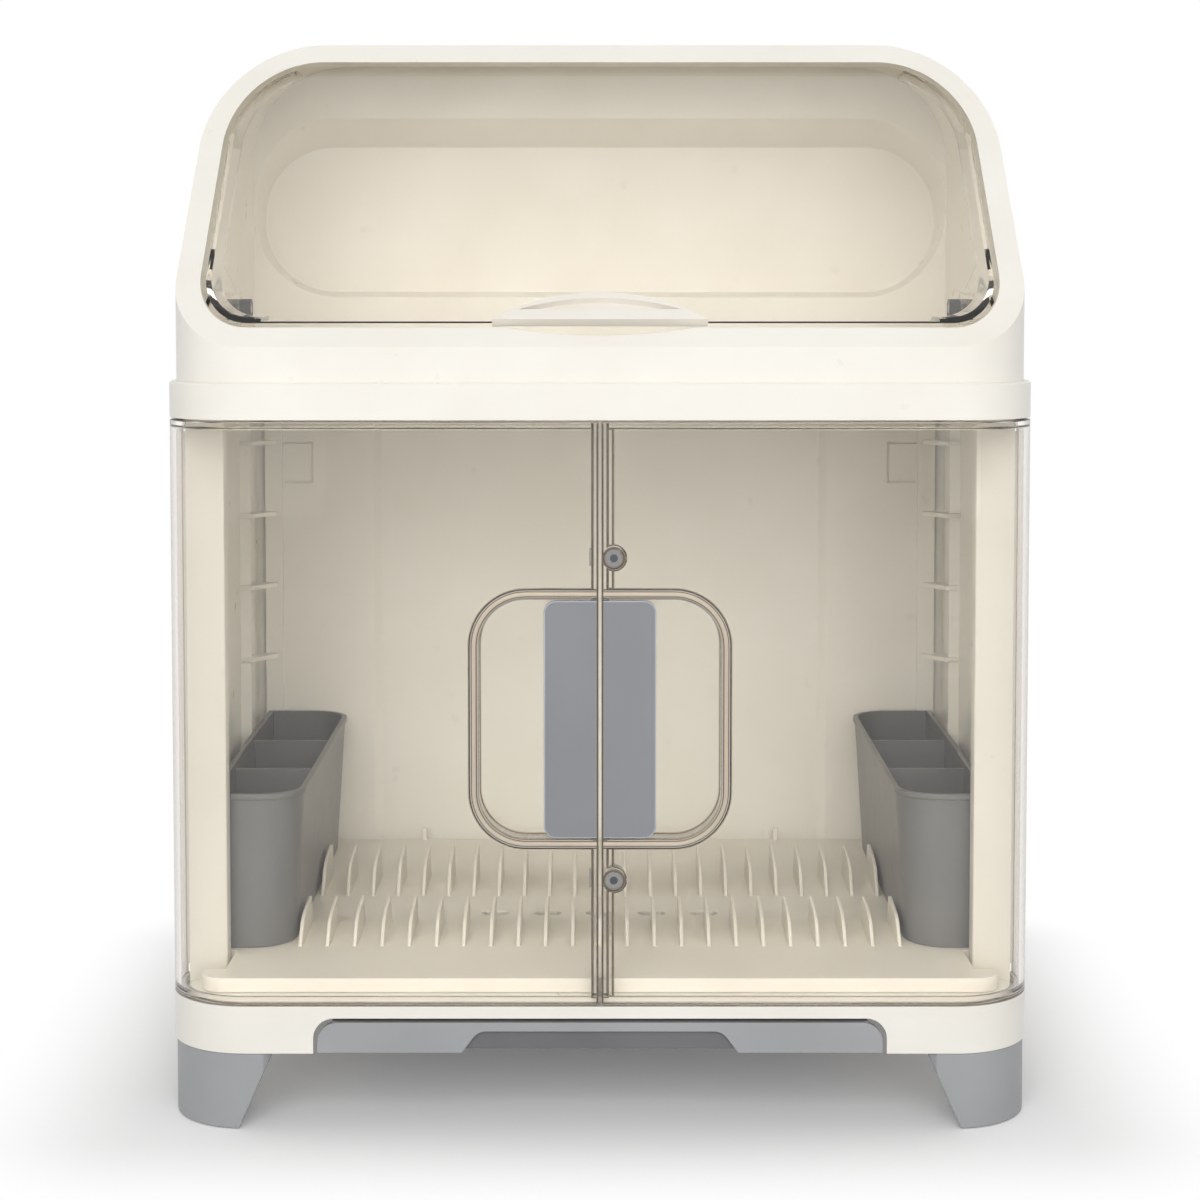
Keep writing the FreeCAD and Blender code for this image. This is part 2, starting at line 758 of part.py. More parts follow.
# Side panels: a moulded skin with a front pillar that follows the door's round
# corner, a rear return, and a pilaster that carries four shelf ledges.
def make_side_panel():
    body = new_body("right_side_panel")
    inner = f"({HALF} - side_skin)"
    pilaster = f"({inner} - pilaster_depth)"
    pillar_in = f"({HALF} - pillar_reach)"
    pillar_out = f"({HALF} - pillar_outer)"
    pilaster_rear = "pilaster_front + pilaster_width"
    section = [
        (HALF, behind("side_start")),
        (HALF, "depth / 2", "corner_rear"),
        (f"{HALF} - rear_return", "depth / 2"),
        (f"{HALF} - rear_return", "depth / 2 - side_skin"),
        (inner, "depth / 2 - side_skin", "corner_rear - side_skin"),
        (inner, behind(pilaster_rear)),
        (pilaster, behind(pilaster_rear)),
        (pilaster, behind("pilaster_front")),
        (inner, behind("pilaster_front")),
        (inner, behind("pillar_rear")),
        (pillar_in, behind("pillar_rear")),
        (pillar_in, behind("pillar_inner_front"), "3"),
        (pillar_out, behind("pillar_front")),
        (pillar_out, behind("side_start")),
    ]
    pad(body, "side_section", outline(body, "side_plan", "XY_Plane", BASE_TOP, section),
        "bay_height")
    pocket(body, "side_plinth_step",
           outline(body, "side_plinth_plan", "XY_Plane", BASE_TOP,
                   rectangle(f"{pillar_in} - 1", f"{HALF} - plinth_inset + seat_gap",
                             behind("0"), behind("depth - plinth_inset + seat_gap"))),
           "plinth_height", reverse=True)
    pocket(body, "hinge_channel",
           circles(body, "hinge_channel_plan", "XY_Plane", BASE_TOP, [(HINGE_X, HINGE_Y)],
                   "hinge_radius + hinge_clearance"),
           "bay_height", reverse=True)
    ledge_tip = f"({HALF} - side_skin - ledge_reach)"
    nose_y = behind("pilaster_front - ledge_nose")
    wing_y = behind(pilaster_rear)
    ledge = outline(body, "ledge_plan", "XY_Plane", f"{BASE_TOP} + ledge_first", [
        (f"{inner} + 1", f"{wing_y}"),
        (f"{inner} + 1", f"{nose_y} + ledge_nose"),
        (f"{pilaster} + 2", nose_y),
        (f"{pilaster} - 2", nose_y),
        (ledge_tip, f"{wing_y} - ledge_nose"),
        (ledge_tip, wing_y),
    ])
    shelf = pad(body, "ledge", ledge, "ledge_thickness")
    repeat(body, "ledges", shelf, "Z_Axis", "ledge_pitch * (ledge_count - 1)", "ledge_count")
    node(body, "right_side_panel")
    node(mirror("left_side_panel_mirror", body), "left_side_panel")


make_side_panel()


# Back panel: corner posts, side fields with an outlined snap hook near the top,
# and a centre field set back by a slanted step.
def make_back_panel():
    body = new_body("back_panel")
    half = f"({HALF} - side_skin - seat_gap)"
    face = f"({HALF} - side_skin - back_post)"
    rear = f"(depth / 2 - side_skin - seat_gap)"
    front = f"({rear} - back_thickness)"
    post = f"({front} - back_step)"
    bend = f"({half} - (corner_rear - side_skin))"
    centre = "back_centre_half"
    slant = "(back_centre_half + back_slant)"
    deep_front = f"({front} + back_step)"
    deep_rear = f"({rear} + back_step)"
    right = [
        (centre, deep_rear), (slant, rear), (bend, rear),
        (f"{bend} + back_thickness + back_step", post),
        (face, post), (f"{face}", front), (slant, front), (centre, deep_front),
    ]
    section = outline(body, "back_plan", "XY_Plane", DECK_TOP,
                      right + mirrored_points(right[::-1]))
    pad(body, "back_section", section, "bay_height - plinth_height")
    top = f"({BAND_BOTTOM} - hook_drop)"
    low = f"({top} - hook_height)"
    for sign in (-1, 1):
        side = "left" if sign < 0 else "right"
        tip = f"({face} - hook_width)"
        groove = [
            (f"{sign} * {face}", top), (f"{sign} * {tip}", top),
            (f"{sign} * {tip}", low), (f"{sign} * {face}", low),
            (f"{sign} * {face}", f"{low} + hook_groove"),
            (f"{sign} * ({tip} + hook_groove)", f"{low} + hook_groove"),
            (f"{sign} * ({tip} + hook_groove)", f"{top} - hook_groove"),
            (f"{sign} * {face}", f"{top} - hook_groove"),
        ]
        pocket(body, f"hook_groove_{side}",
               outline(body, f"hook_line_{side}", "XZ_Plane", front, groove),
               "back_thickness / 2")
    node(body, "back_panel")


make_back_panel()


# Band: the frame that ties the side panels together, carries the upper tray in
# a rebate and takes the doors' upper hinge pins.
def make_band():
    body = new_body("top_band")
    pad(body, "band_ring", outline(body, "band_plan", "XY_Plane", BAND_BOTTOM, plan("0")),
        "band_height")
    chamfer(body, "band_edge", "band_bevel", lambda edge: level_edge(edge, number(BAND_TOP)))
    pocket(body, "band_through",
           outline(body, "band_opening_plan", "XY_Plane", BAND_TOP, bay_plan("band_opening")),
           "band_height")
    pocket(body, "band_step",
           outline(body, "band_rebate_plan", "XY_Plane", BAND_TOP, bay_plan("band_rebate")),
           "band_rebate_depth")
    pocket(body, "band_hinge_bores",
           circles(body, "band_hinge_plan", "XY_Plane", BAND_BOTTOM,
                   [(HINGE_X, HINGE_Y), (f"-{HINGE_X}", HINGE_Y)],
                   "pin_radius + pin_clearance"), "pin_seat", reverse=True)
    node(body, "top_band")


make_band()


# Doors: each wraps a front corner, with a meeting flange, top and bottom rails,
# a rolled hinge edge and half of the sunk finger cup.
def door_section(sign, inner):
    """The door's plan outline with a wall of the given thickness."""
    meeting = "(door_meeting_gap / 2)"
    return [
        (f"{sign} * {meeting}", FRONT),
        (f"{sign} * {HALF}", FRONT, "corner_front"),
        (f"{sign} * {HALF}", HINGE_Y),
        (f"{sign} * ({HALF} - {inner})", HINGE_Y),
        (f"{sign} * ({HALF} - {inner})", behind(inner), f"corner_front - {inner}"),
        (f"{sign} * {meeting}", behind(inner)),
    ]


def make_door(side, sign):
    body = new_body(f"door_{side}")
    low = f"({BASE_TOP} + door_play)"
    high = f"({BAND_BOTTOM} - door_play)"
    tall = "(bay_height - 2 * door_play)"
    meeting = "(door_meeting_gap / 2)"
    pad(body, f"{side}_door_skin",
        outline(body, f"{side}_door_plan", "XY_Plane", low, door_section(sign, "door_wall")),
        tall)
    pad(body, f"{side}_meeting_flange",
        outline(body, f"{side}_flange_plan", "XY_Plane", f"{low} + plinth_height",
                rectangle(f"{sign} * {meeting}", f"{sign} * ({meeting} + door_wall)",
                          FRONT, behind("meeting_flange"))), f"{tall} - plinth_height")
    for end, level in (("low", low), ("high", f"{high} - door_rail_height")):
        pad(body, f"{side}_rail_{end}",
            outline(body, f"{side}_rail_plan_{end}", "XY_Plane", level,
                    door_section(sign, "door_rail_depth")), "door_rail_height")
    hinge = [(f"{sign} * {HINGE_X}", HINGE_Y)]
    pad(body, f"{side}_hinge_edge",
        circles(body, f"{side}_hinge_plan", "XY_Plane", low, hinge, "hinge_radius"), tall)
    cup_low = f"(foot_height + cup_bottom)"
    cup_high = f"({cup_low} + cup_height)"
    shell = [
        (f"{sign} * {meeting}", f"{cup_low} - cup_wall"),
        (f"{sign} * (cup_width + cup_wall)", f"{cup_low} - cup_wall", "cup_round + cup_wall"),
        (f"{sign} * (cup_width + cup_wall)", f"{cup_high} + cup_wall", "cup_round + cup_wall"),
        (f"{sign} * {meeting}", f"{cup_high} + cup_wall"),
    ]
    pad(body, f"{side}_cup_shell", outline(body, f"{side}_cup_outer", "XZ_Plane", FRONT, shell),
        "cup_depth + cup_wall", reverse=True)
    bead = [
        (f"{sign} * {meeting}", f"{cup_low} - cup_bead"),
        (f"{sign} * (cup_width + cup_bead)", f"{cup_low} - cup_bead", "cup_round + cup_bead"),
        (f"{sign} * (cup_width + cup_bead)", f"{cup_high} + cup_bead", "cup_round + cup_bead"),
        (f"{sign} * {meeting}", f"{cup_high} + cup_bead"),
    ]
    pad(body, f"{side}_cup_bead", outline(body, f"{side}_bead_outer", "XZ_Plane", FRONT, bead),
        "cup_bead_depth", reverse=True)
    hollow = [
        (f"{sign} * ({meeting} + door_wall)", cup_low),
        (f"{sign} * cup_width", cup_low, "cup_round"),
        (f"{sign} * cup_width", cup_high, "cup_round"),
        (f"{sign} * ({meeting} + door_wall)", cup_high),
    ]
    pocket(body, f"{side}_cup", outline(body, f"{side}_cup_inner", "XZ_Plane", FRONT, hollow),
           "cup_depth")
    middle = f"({cup_low} + cup_height / 2)"
    reach = "(plate_height / 2 + plate_gap)"
    near = f"({meeting} + plate_gap)"
    pocket(body, f"{side}_plate_seat",
           outline(body, f"{side}_plate_seat_face", "XZ_Plane", FRONT,
                   rectangle(f"{sign} * ({meeting} - 1)", f"{sign} * ({near} + plate_width)",
                             f"{middle} - {reach}", f"{middle} + {reach}")),
           "plate_thickness + 2 * seat_gap")
    if side == "right":
        for end, level, tall_ in (("low", f"{low} + plinth_height", f"{cup_low} - {low} - wall"),
                                  ("high", cup_high, f"{high} - {cup_high}")):
            pad(body, f"lap_strip_{end}",
                outline(body, f"lap_plan_{end}", "XY_Plane", level,
                        rectangle(f"{meeting} + door_wall / 2", f"{meeting} + door_wall + lap_width",
                                  FRONT, behind("lap_depth"))), tall_)
        bosses = [(f"{meeting} + latch_radius", "foot_height + latch_low"),
                  (f"{meeting} + latch_radius", "foot_height + latch_high")]
        pad(body, "latch_bosses",
            circles(body, "latch_boss_front", "XZ_Plane", FRONT, bosses, "latch_radius"),
            "latch_depth", reverse=True)
        pocket(body, "magnet_seats",
               circles(body, "magnet_seat_front", "XZ_Plane", FRONT, bosses,
                       "magnet_radius + pin_clearance"), "magnet_thickness + 1")
    for end, level, upward in (("low", low, True), ("high", high, False)):
        pocket(body, f"{side}_pin_bore_{end}",
               circles(body, f"{side}_pin_plan_{end}", "XY_Plane", level, hinge,
                       "pin_radius + pin_clearance"), "pin_seat", reverse=upward)
    node(body, f"door_{side}")


for side, sign in (("left", -1), ("right", 1)):
    make_door(side, sign)


# Handle plates: opaque grips set flush in the finger cups, each on two posts
# that stand on the cup's floor.
def make_plate(side, sign):
    body = new_body(f"handle_plate_{side}")
    near = "(door_meeting_gap / 2 + plate_gap)"
    middle = "(foot_height + cup_bottom + cup_height / 2)"
    low = f"({middle} - plate_height / 2)"
    high = f"({middle} + plate_height / 2)"
    face = [
        (f"{sign} * {near}", low),
        (f"{sign} * ({near} + plate_width)", low, "plate_round"),
        (f"{sign} * ({near} + plate_width)", high, "plate_round"),
        (f"{sign} * {near}", high),
    ]
    pad(body, f"{side}_plate", outline(body, f"{side}_plate_face", "XZ_Plane",
                                       behind("seat_gap"), face),
        "plate_thickness", reverse=True)
    for end, step in (("low", -1), ("high", 1)):
        post = (f"{sign} * ({near} + door_wall + plate_width / 3)",
                f"{middle} + {step} * plate_height / 3")
        pad(body, f"{side}_post_{end}",
            outline(body, f"{side}_post_plan_{end}", "XZ_Plane",
                    behind("seat_gap + plate_thickness / 2"), square(post, "plate_post_half")),
            "cup_depth - seat_gap - plate_thickness / 2", reverse=True)
    node(body, f"handle_plate_{side}")


for side, sign in (("left", -1), ("right", 1)):
    make_plate(side, sign)


# Hinge pins: one short steel pin below and one above each door.
def make_hinge_pins(side, sign):
    pins = []
    reach = "(2 * pin_seat + door_play - 2 * seat_gap)"
    for end, start in (("low", f"{BASE_TOP} - pin_seat + seat_gap"),
                       ("high", f"{BAND_BOTTOM} + pin_seat - seat_gap - {reach}")):
        pins.append(rod(f"{side}_pin_{end}", "Z", "pin_radius", reach,
                        f"{sign} * {HINGE_X}", HINGE_Y, start))
    node(group(f"{side}_pins", pins), f"hinge_pins_{side}")


for side, sign in (("left", -1), ("right", 1)):
    make_hinge_pins(side, sign)


# Latch: two disc magnets in the right door, two steel catches on the flange of
# the left door.
def make_latch():
    magnets, catches = [], []
    for end in ("low", "high"):
        height = f"foot_height + latch_{end}"
        magnets.append(rod(f"magnet_{end}", "Y", "magnet_radius", "magnet_thickness",
                           "door_meeting_gap / 2 + latch_radius", behind("1"), height))
        catches.append(box(
            f"catch_{end}",
            ("-(door_meeting_gap / 2 + door_wall + catch_thickness)",
             "-(door_meeting_gap / 2 + door_wall)"),
            (behind("door_wall + 0.5"), behind("door_wall + 0.5 + 2 * catch_radius")),
            (f"{height} - catch_radius", f"{height} + catch_radius")))
    node(group("magnets", magnets), "latch_magnets")
    node(group("catches", catches), "latch_catches")


make_latch()


# Lower drain tray: a shallow deck with a rounded front lip, notches round the
# pillars, drain slots and two rows of blade-shaped plate fins.
def fin_profile(start, height):
    length = "fin_length"
    base = f"({TRAY_TOP} - tray_deck / 2)"
    return [
        (behind(start), base),
        (behind(start), TRAY_TOP),
        (behind(f"{start} + 0.22 * {length}"), f"{TRAY_TOP} + 0.68 * {height}"),
        (behind(f"{start} + 0.4 * {length}"), f"{TRAY_TOP} + 0.86 * {height}"),
        (behind(f"{start} + 0.9 * {length}"), f"{TRAY_TOP} + {height}"),
        (behind(f"{start} + {length}"), TRAY_TOP),
        (behind(f"{start} + {length}"), base),
    ]


def make_lower_tray():
    body = new_body("lower_drain_tray")
    front, rear = behind("tray_front"), behind(TRAY_REAR)
    notch_front = behind("pillar_front - tray_notch_margin")
    notch_rear = behind("pillar_rear + tray_notch_margin")
    waist = f"({HALF} - pillar_reach - tray_notch_margin)"

    def shape(inset):
        right = [
            (f"{TRAY_SIDE} - {inset}", f"{front} + {inset}", f"tray_round - {inset}"),
            (f"{TRAY_SIDE} - {inset}", f"{notch_front} - {inset}"),
            (f"{waist} - {inset}", f"{notch_front} - {inset}"),
            (f"{waist} - {inset}", f"{notch_rear} + {inset}"),
            (f"{TRAY_REAR_SIDE} - {inset}", f"{notch_rear} + {inset}"),
            (f"{TRAY_REAR_SIDE} - {inset}", f"{rear} - {inset}", "corner_rear - side_skin"),
        ]
        return right + mirrored_points(right[::-1])

    bottom = f"({DECK_TOP} + seat_gap)"
    pad(body, "tray_block", outline(body, "tray_plan", "XY_Plane", bottom, shape("0")),
        "tray_height - seat_gap")
    pocket(body, "tray_underside",
           outline(body, "tray_inner_plan", "XY_Plane", bottom, shape("tray_deck")),
           "tray_height - seat_gap - tray_deck", reverse=True)
    for row in ("front", "rear"):
        sketch = outline(body, f"fin_{row}", "YZ_Plane", f"-{FIN_SPAN} / 2",
                         fin_profile(f"fin_{row}_start", f"fin_{row}_height"))
        first = pad(body, f"first_fin_{row}", sketch, "fin_thickness", symmetric=True)
        repeat(body, f"fins_{row}", first, "X_Axis", FIN_SPAN, "fin_count")
    slot = outline(body, "slot_plan", "XY_Plane", TRAY_TOP, [
        ("-slot_span / 2 - slot_length / 2", behind("slot_start + slot_width / 2")),
        ("-slot_span / 2 - slot_length / 3", behind("slot_start")),
        ("-slot_span / 2 + slot_length / 3", behind("slot_start")),
        ("-slot_span / 2 + slot_length / 2", behind("slot_start + slot_width / 2")),
        ("-slot_span / 2 + slot_length / 3", behind("slot_start + slot_width")),
        ("-slot_span / 2 - slot_length / 3", behind("slot_start + slot_width")),
    ])
    first = pocket(body, "first_slot", slot, "tray_height")
    repeat(body, "slots", first, "X_Axis", "slot_span", "slot_count")
    for sign in (-1, 1):
        side = "left" if sign < 0 else "right"
        peg = rectangle(f"{sign} * tray_peg_spread", f"{sign} * (tray_peg_spread + wall)",
                        behind(f"{TRAY_REAR} - wall"), behind(TRAY_REAR))
        pad(body, f"tray_peg_{side}",
            outline(body, f"peg_plan_{side}", "XY_Plane", f"{TRAY_TOP} - wall / 2", peg),
            "3 * wall")
    node(body, "lower_drain_tray")


make_lower_tray()


# Cutlery holders: tapered cups along the side panels, rounded towards the
# middle, with a rim and two dividers.
def holder_plan(grow, draft):
    inner = f"({HOLDER_INNER} + {draft} - ({grow}))"
    outer = f"({HOLDER_OUTER} + ({grow}))"
    front = behind(f"holder_front + {draft} / 2 - ({grow})")
    rear = behind(f"{HOLDER_REAR} - {draft} / 2 + ({grow})")
    return [
        (inner, front, f"holder_round + ({grow})"),
        (outer, front),
        (outer, rear),
        (inner, rear, f"holder_round + ({grow})"),
    ]


def make_holders():
    body = new_body("cutlery_holder_right")
    bottom = f"({TRAY_TOP} + seat_gap)"
    top = f"({bottom} + holder_height)"
    loft(body, "holder_block",
         outline(body, "holder_foot", "XY_Plane", bottom, holder_plan("0", "holder_draft")),
         outline(body, "holder_mouth", "XY_Plane", top, holder_plan("0", "0")))
    pad(body, "holder_rim_band",
        outline(body, "holder_rim_plan", "XY_Plane", top, holder_plan("holder_rim", "0")),
        "holder_rim_height", reverse=True)
    loft(body, "holder_hollow",
         outline(body, "hollow_foot", "XY_Plane", f"{bottom} + holder_wall",
                 holder_plan("-holder_wall", "holder_draft")),
         outline(body, "hollow_mouth", "XY_Plane", f"{top} + 0.01",
                 holder_plan("-holder_wall", "0")), kind="Subtractive")
    inner_top = f"({HOLDER_INNER} + holder_wall / 2)"
    inner_low = f"({HOLDER_INNER} + holder_draft + holder_wall / 2)"
    outer = f"({HOLDER_OUTER} - holder_wall / 2)"
    for place in (1, 2):
        level = behind(f"holder_front + {place} * ({HOLDER_REAR} - holder_front) / 3")
        web = [
            (inner_low, f"{bottom} + holder_wall / 2"),
            (outer, f"{bottom} + holder_wall / 2"),
            (outer, f"{top} - holder_divider_drop"),
            (inner_top, f"{top} - holder_divider_drop"),
        ]
        pad(body, f"divider_{place}",
            outline(body, f"divider_face_{place}", "XZ_Plane", level, web),
            "holder_wall * 0.8", symmetric=True)
    node(body, "cutlery_holder_right")
    node(mirror("cutlery_holder_left_mirror", body), "cutlery_holder_left")


make_holders()


# Upper drain tray: a slotted pan in the band's rebate, reached through the lid,
# with two rows of low ribs.
def make_upper_tray():
    body = new_body("upper_drain_tray")
    seat = f"({BAND_TOP} - band_rebate_depth)"
    rim_low = f"({seat} + seat_gap)"
    rim_high = f"({rim_low} + upper_rim_thickness)"
    pan_low = f"({rim_low} - upper_pan_depth)"
    pad(body, "upper_rim",
        outline(body, "upper_rim_plan", "XY_Plane", rim_low,
                bay_plan("band_rebate + upper_play")),
        "upper_rim_thickness")
    pad(body, "upper_pan",
        outline(body, "upper_pan_plan", "XY_Plane", pan_low,
                bay_plan("band_opening + upper_play")),
        "upper_pan_depth")
    pocket(body, "upper_well",
           outline(body, "upper_well_plan", "XY_Plane", rim_high,
                   bay_plan("band_opening + upper_play + tray_deck")),
           "upper_pan_depth + upper_rim_thickness - tray_deck")
    floor = f"({pan_low} + tray_deck)"
    rear_start = "(depth - upper_fin_rear_gap - upper_fin_length)"
    for row, start in (("front", "upper_fin_front_start"), ("rear", rear_start)):
        profile = [
            (behind(start), f"{floor} - tray_deck / 2"),
            (behind(start), f"{floor} + upper_fin_height / 2"),
            (behind(f"{start} + upper_fin_shoulder"), f"{floor} + upper_fin_height"),
            (behind(f"{start} + upper_fin_length - upper_fin_shoulder"),
             f"{floor} + upper_fin_height"),
            (behind(f"{start} + upper_fin_length"), f"{floor} + upper_fin_height / 2"),
            (behind(f"{start} + upper_fin_length"), f"{floor} - tray_deck / 2"),
        ]
        sketch = outline(body, f"upper_rib_{row}", "YZ_Plane", f"-{UPPER_FIN_SPAN} / 2",
                         profile)
        first = pad(body, f"first_upper_rib_{row}", sketch, "fin_thickness", symmetric=True)
        repeat(body, f"upper_ribs_{row}", first, "X_Axis", UPPER_FIN_SPAN, "upper_fin_count")
    pitch = f"({UPPER_FIN_SPAN} / (upper_fin_count - 1))"
    reach = f"{pitch} * (upper_slot_count - 1) / 2"
    slot = outline(body, "upper_slot_plan", "XY_Plane", floor,
                   rectangle(f"-{reach} + {pitch} / 2 - slot_width / 2",
                             f"-{reach} + {pitch} / 2 + slot_width / 2",
                             behind("upper_slot_start"),
                             behind("upper_slot_start + upper_slot_length")))
    first = pocket(body, "first_upper_slot", slot, "tray_deck + 1")
    repeat(body, "upper_slots", first, "X_Axis", f"{pitch} * (upper_slot_count - 2)",
           "upper_slot_count - 1")
    node(body, "upper_drain_tray")


make_upper_tray()


# Hood: an arched shell cut off by the sloping face, with the lid's opening in
# that face and a stadium-shaped recess that bulges into the rear hollow.
SINE = f"(slope_rise / {SLOPE_LENGTH})"
COSINE = f"(slope_run / {SLOPE_LENGTH})"


def slope_point(along, out):
    """A place on the side view, given along and out from the sloping face."""
    y = f"({SLOPE_START} + ({along}) * {COSINE} - ({out}) * {SINE})"
    z = f"({LIP_TOP} + ({along}) * {SINE} + ({out}) * {COSINE})"
    return y, z


def arch(inset, floor):
    half = f"({HALF} - hood_inset - ({inset}))"
    top = f"({HOOD_TOP} - ({inset}))"
    return [
        (f"-{half}", floor),
        (half, floor),
        (half, top, f"arch_radius - ({inset})"),
        (f"-{half}", top, f"arch_radius - ({inset})"),
    ]


def arch_block(name, inset, floor, start, end, front_round, rear_round):
    """The arched block between two depths, cut off by the sloping face."""
    body = new_body(name)
    pad(body, f"{name}_arch", outline(body, f"{name}_front", "XZ_Plane", behind(start),
                                      arch(inset, floor)),
        f"({end}) - ({start})", reverse=True)

    def upright_loop(depth_place):
        level = number(behind(depth_place))

        def chosen(edge):
            extent = edge.BoundBox
            flat = abs(extent.YMin - level) < 0.01 and abs(extent.YMax - level) < 0.01
            return flat and extent.ZMax > number(floor) + 0.01
        return chosen

    if rear_round:
        fillet(body, f"{name}_rear_edge", rear_round, upright_loop(end))
    if front_round:
        fillet(body, f"{name}_front_edge", front_round, upright_loop(start))
        out = f"-({inset})"
        low = slope_point("-60", out)
        high = slope_point(f"{SLOPE_LENGTH} * 1.3", out)
        side = [low, high, (low[0], high[1])]
        pocket(body, f"{name}_slope", outline(body, f"{name}_side", "YZ_Plane", "0", side),
               "width", symmetric=True)
    return body


def stadium(body, name, level, inset, soffit, grow):
    """The recess outline at one depth; its upper side drops by the soffit as well."""
    half = f"({HALF} - hood_inset - recess_side - ({inset}) + ({grow}))"
    low = f"({BAND_TOP} + recess_low + ({inset}) - ({grow}))"
    high = f"({BAND_TOP} + recess_high - ({inset}) - ({soffit}) + ({grow}))"
    radius = f"(recess_round - ({inset}) - ({soffit}) / 3 + ({grow}))"
    return outline(body, name, "XZ_Plane", level, rectangle(f"-{half}", half, low, high, radius))


def opening_outline(inset):
    half = f"({HALF} - hood_inset - opening_side - ({inset}))"
    low = f"({LIP_TOP} + opening_bottom + ({inset}))"
    high = f"({HOOD_TOP} - opening_top - ({inset}))"
    low_round = f"opening_low_round - ({inset})"
    high_round = f"arch_radius - opening_side - ({inset})"
    return [
        (f"-{half}", low, low_round),
        (half, low, low_round),
        (half, high, high_round),
        (f"-{half}", high, high_round),
    ]


def make_hood():
    end = "(depth - hood_inset)"
    outer = arch_block("hood_outer", "0", BAND_TOP, "hood_inset", end,
                       "corner_front - hood_inset", "hood_rear_round")
    cavity = arch_block("hood_cavity", "wall", f"({BAND_TOP} - 1)", "hood_inset + wall",
                        HOOD_REAR_WALL, "corner_front - hood_inset - wall", None)
    hollow = arch_block("hood_rear_hollow", "wall", f"({BAND_TOP} + wall)",
                        f"{HOOD_REAR_WALL} + wall", f"{end} + 1", None, None)
    rear = behind(end)
    bulge = new_body("recess_outer")
    loft(bulge, "recess_bulge",
         stadium(bulge, "bulge_front", behind(f"{HOOD_REAR_WALL} + wall / 2"), "0", "0", "wall"),
         stadium(bulge, "bulge_rear", rear, "recess_draft", "recess_soffit", "wall"))
    recess = new_body("recess_inner")
    loft(recess, "recess_hollow",
         stadium(recess, "recess_front", behind(f"{HOOD_REAR_WALL} - 0.01"), "0", "0", "0"),
         stadium(recess, "recess_rear", f"{rear} - wall", "recess_draft", "recess_soffit", "0"))
    opening = new_body("lid_opening")
    pad(opening, "opening_prism",
        outline(opening, "opening_front", "XZ_Plane", behind("-5"), opening_outline("0")),
        f"{HOOD_REAR_WALL} - 15", reverse=True)
    rim = f"({LIP_TOP} + opening_bottom)"
    scoop = new_body("thumb_scoop")
    pad(scoop, "scoop_cut",
        outline(scoop, "scoop_front", "XZ_Plane", behind("-5"), [
            ("-scoop_half", f"{rim} + wall"),
            ("-scoop_half", rim),
            ("0", f"{rim} - scoop_drop", "scoop_round"),
            ("scoop_half", rim),
            ("scoop_half", f"{rim} + wall"),
        ]), "opening_bottom + hood_inset + 4 * wall", reverse=True)
    bosses = []
    bores = []
    for sign in (-1, 1):
        side = "left" if sign < 0 else "right"
        inner = f"({HALF} - hood_inset - wall)"
        start = f"({inner} - hood_boss)" if sign > 0 else f"-({inner} + wall / 2)"
        bosses.append(rod(f"hood_boss_{side}", "X", "hood_boss", "hood_boss + wall / 2",
                          start, PIVOT_Y, PIVOT_Z))
        bore_start = f"({inner} - hood_boss - 1)" if sign > 0 else f"-{inner}"
        bores.append(rod(f"hood_bore_{side}", "X", "pivot_radius + pin_clearance",
                         "hood_boss + 1", bore_start, PIVOT_Y, PIVOT_Z))
    shell = cut("hood_shell", outer, fuse("hood_voids", [cavity, hollow]))
    full = fuse("hood_walls", [shell, bulge, *bosses])
    whole = cut("hood_open", full, fuse("hood_cuts", [recess, opening, scoop, *bores]))
    node(whole, "hood")


make_hood()


# Lid: a clear panel sunk in the sloping opening, with wrap-round cheeks and an
# arm on each side that reaches back to the pivot.
def slab(name, top, bottom):
    """A layer parallel to the sloping face."""
    body = new_body(name)
    far = f"({SLOPE_LENGTH} + 40)"
    side = [slope_point("-40", top), slope_point(far, top),
            slope_point(far, bottom), slope_point("-40", bottom)]
    pad(body, f"{name}_layer", outline(body, f"{name}_side", "YZ_Plane", "0", side),
        "width", symmetric=True)
    return body


def lid_prism(name, inset):
    body = new_body(name)
    pad(body, f"{name}_prism",
        outline(body, f"{name}_front", "XZ_Plane", behind("-30"), opening_outline(inset)),
        "depth", reverse=True)
    return body


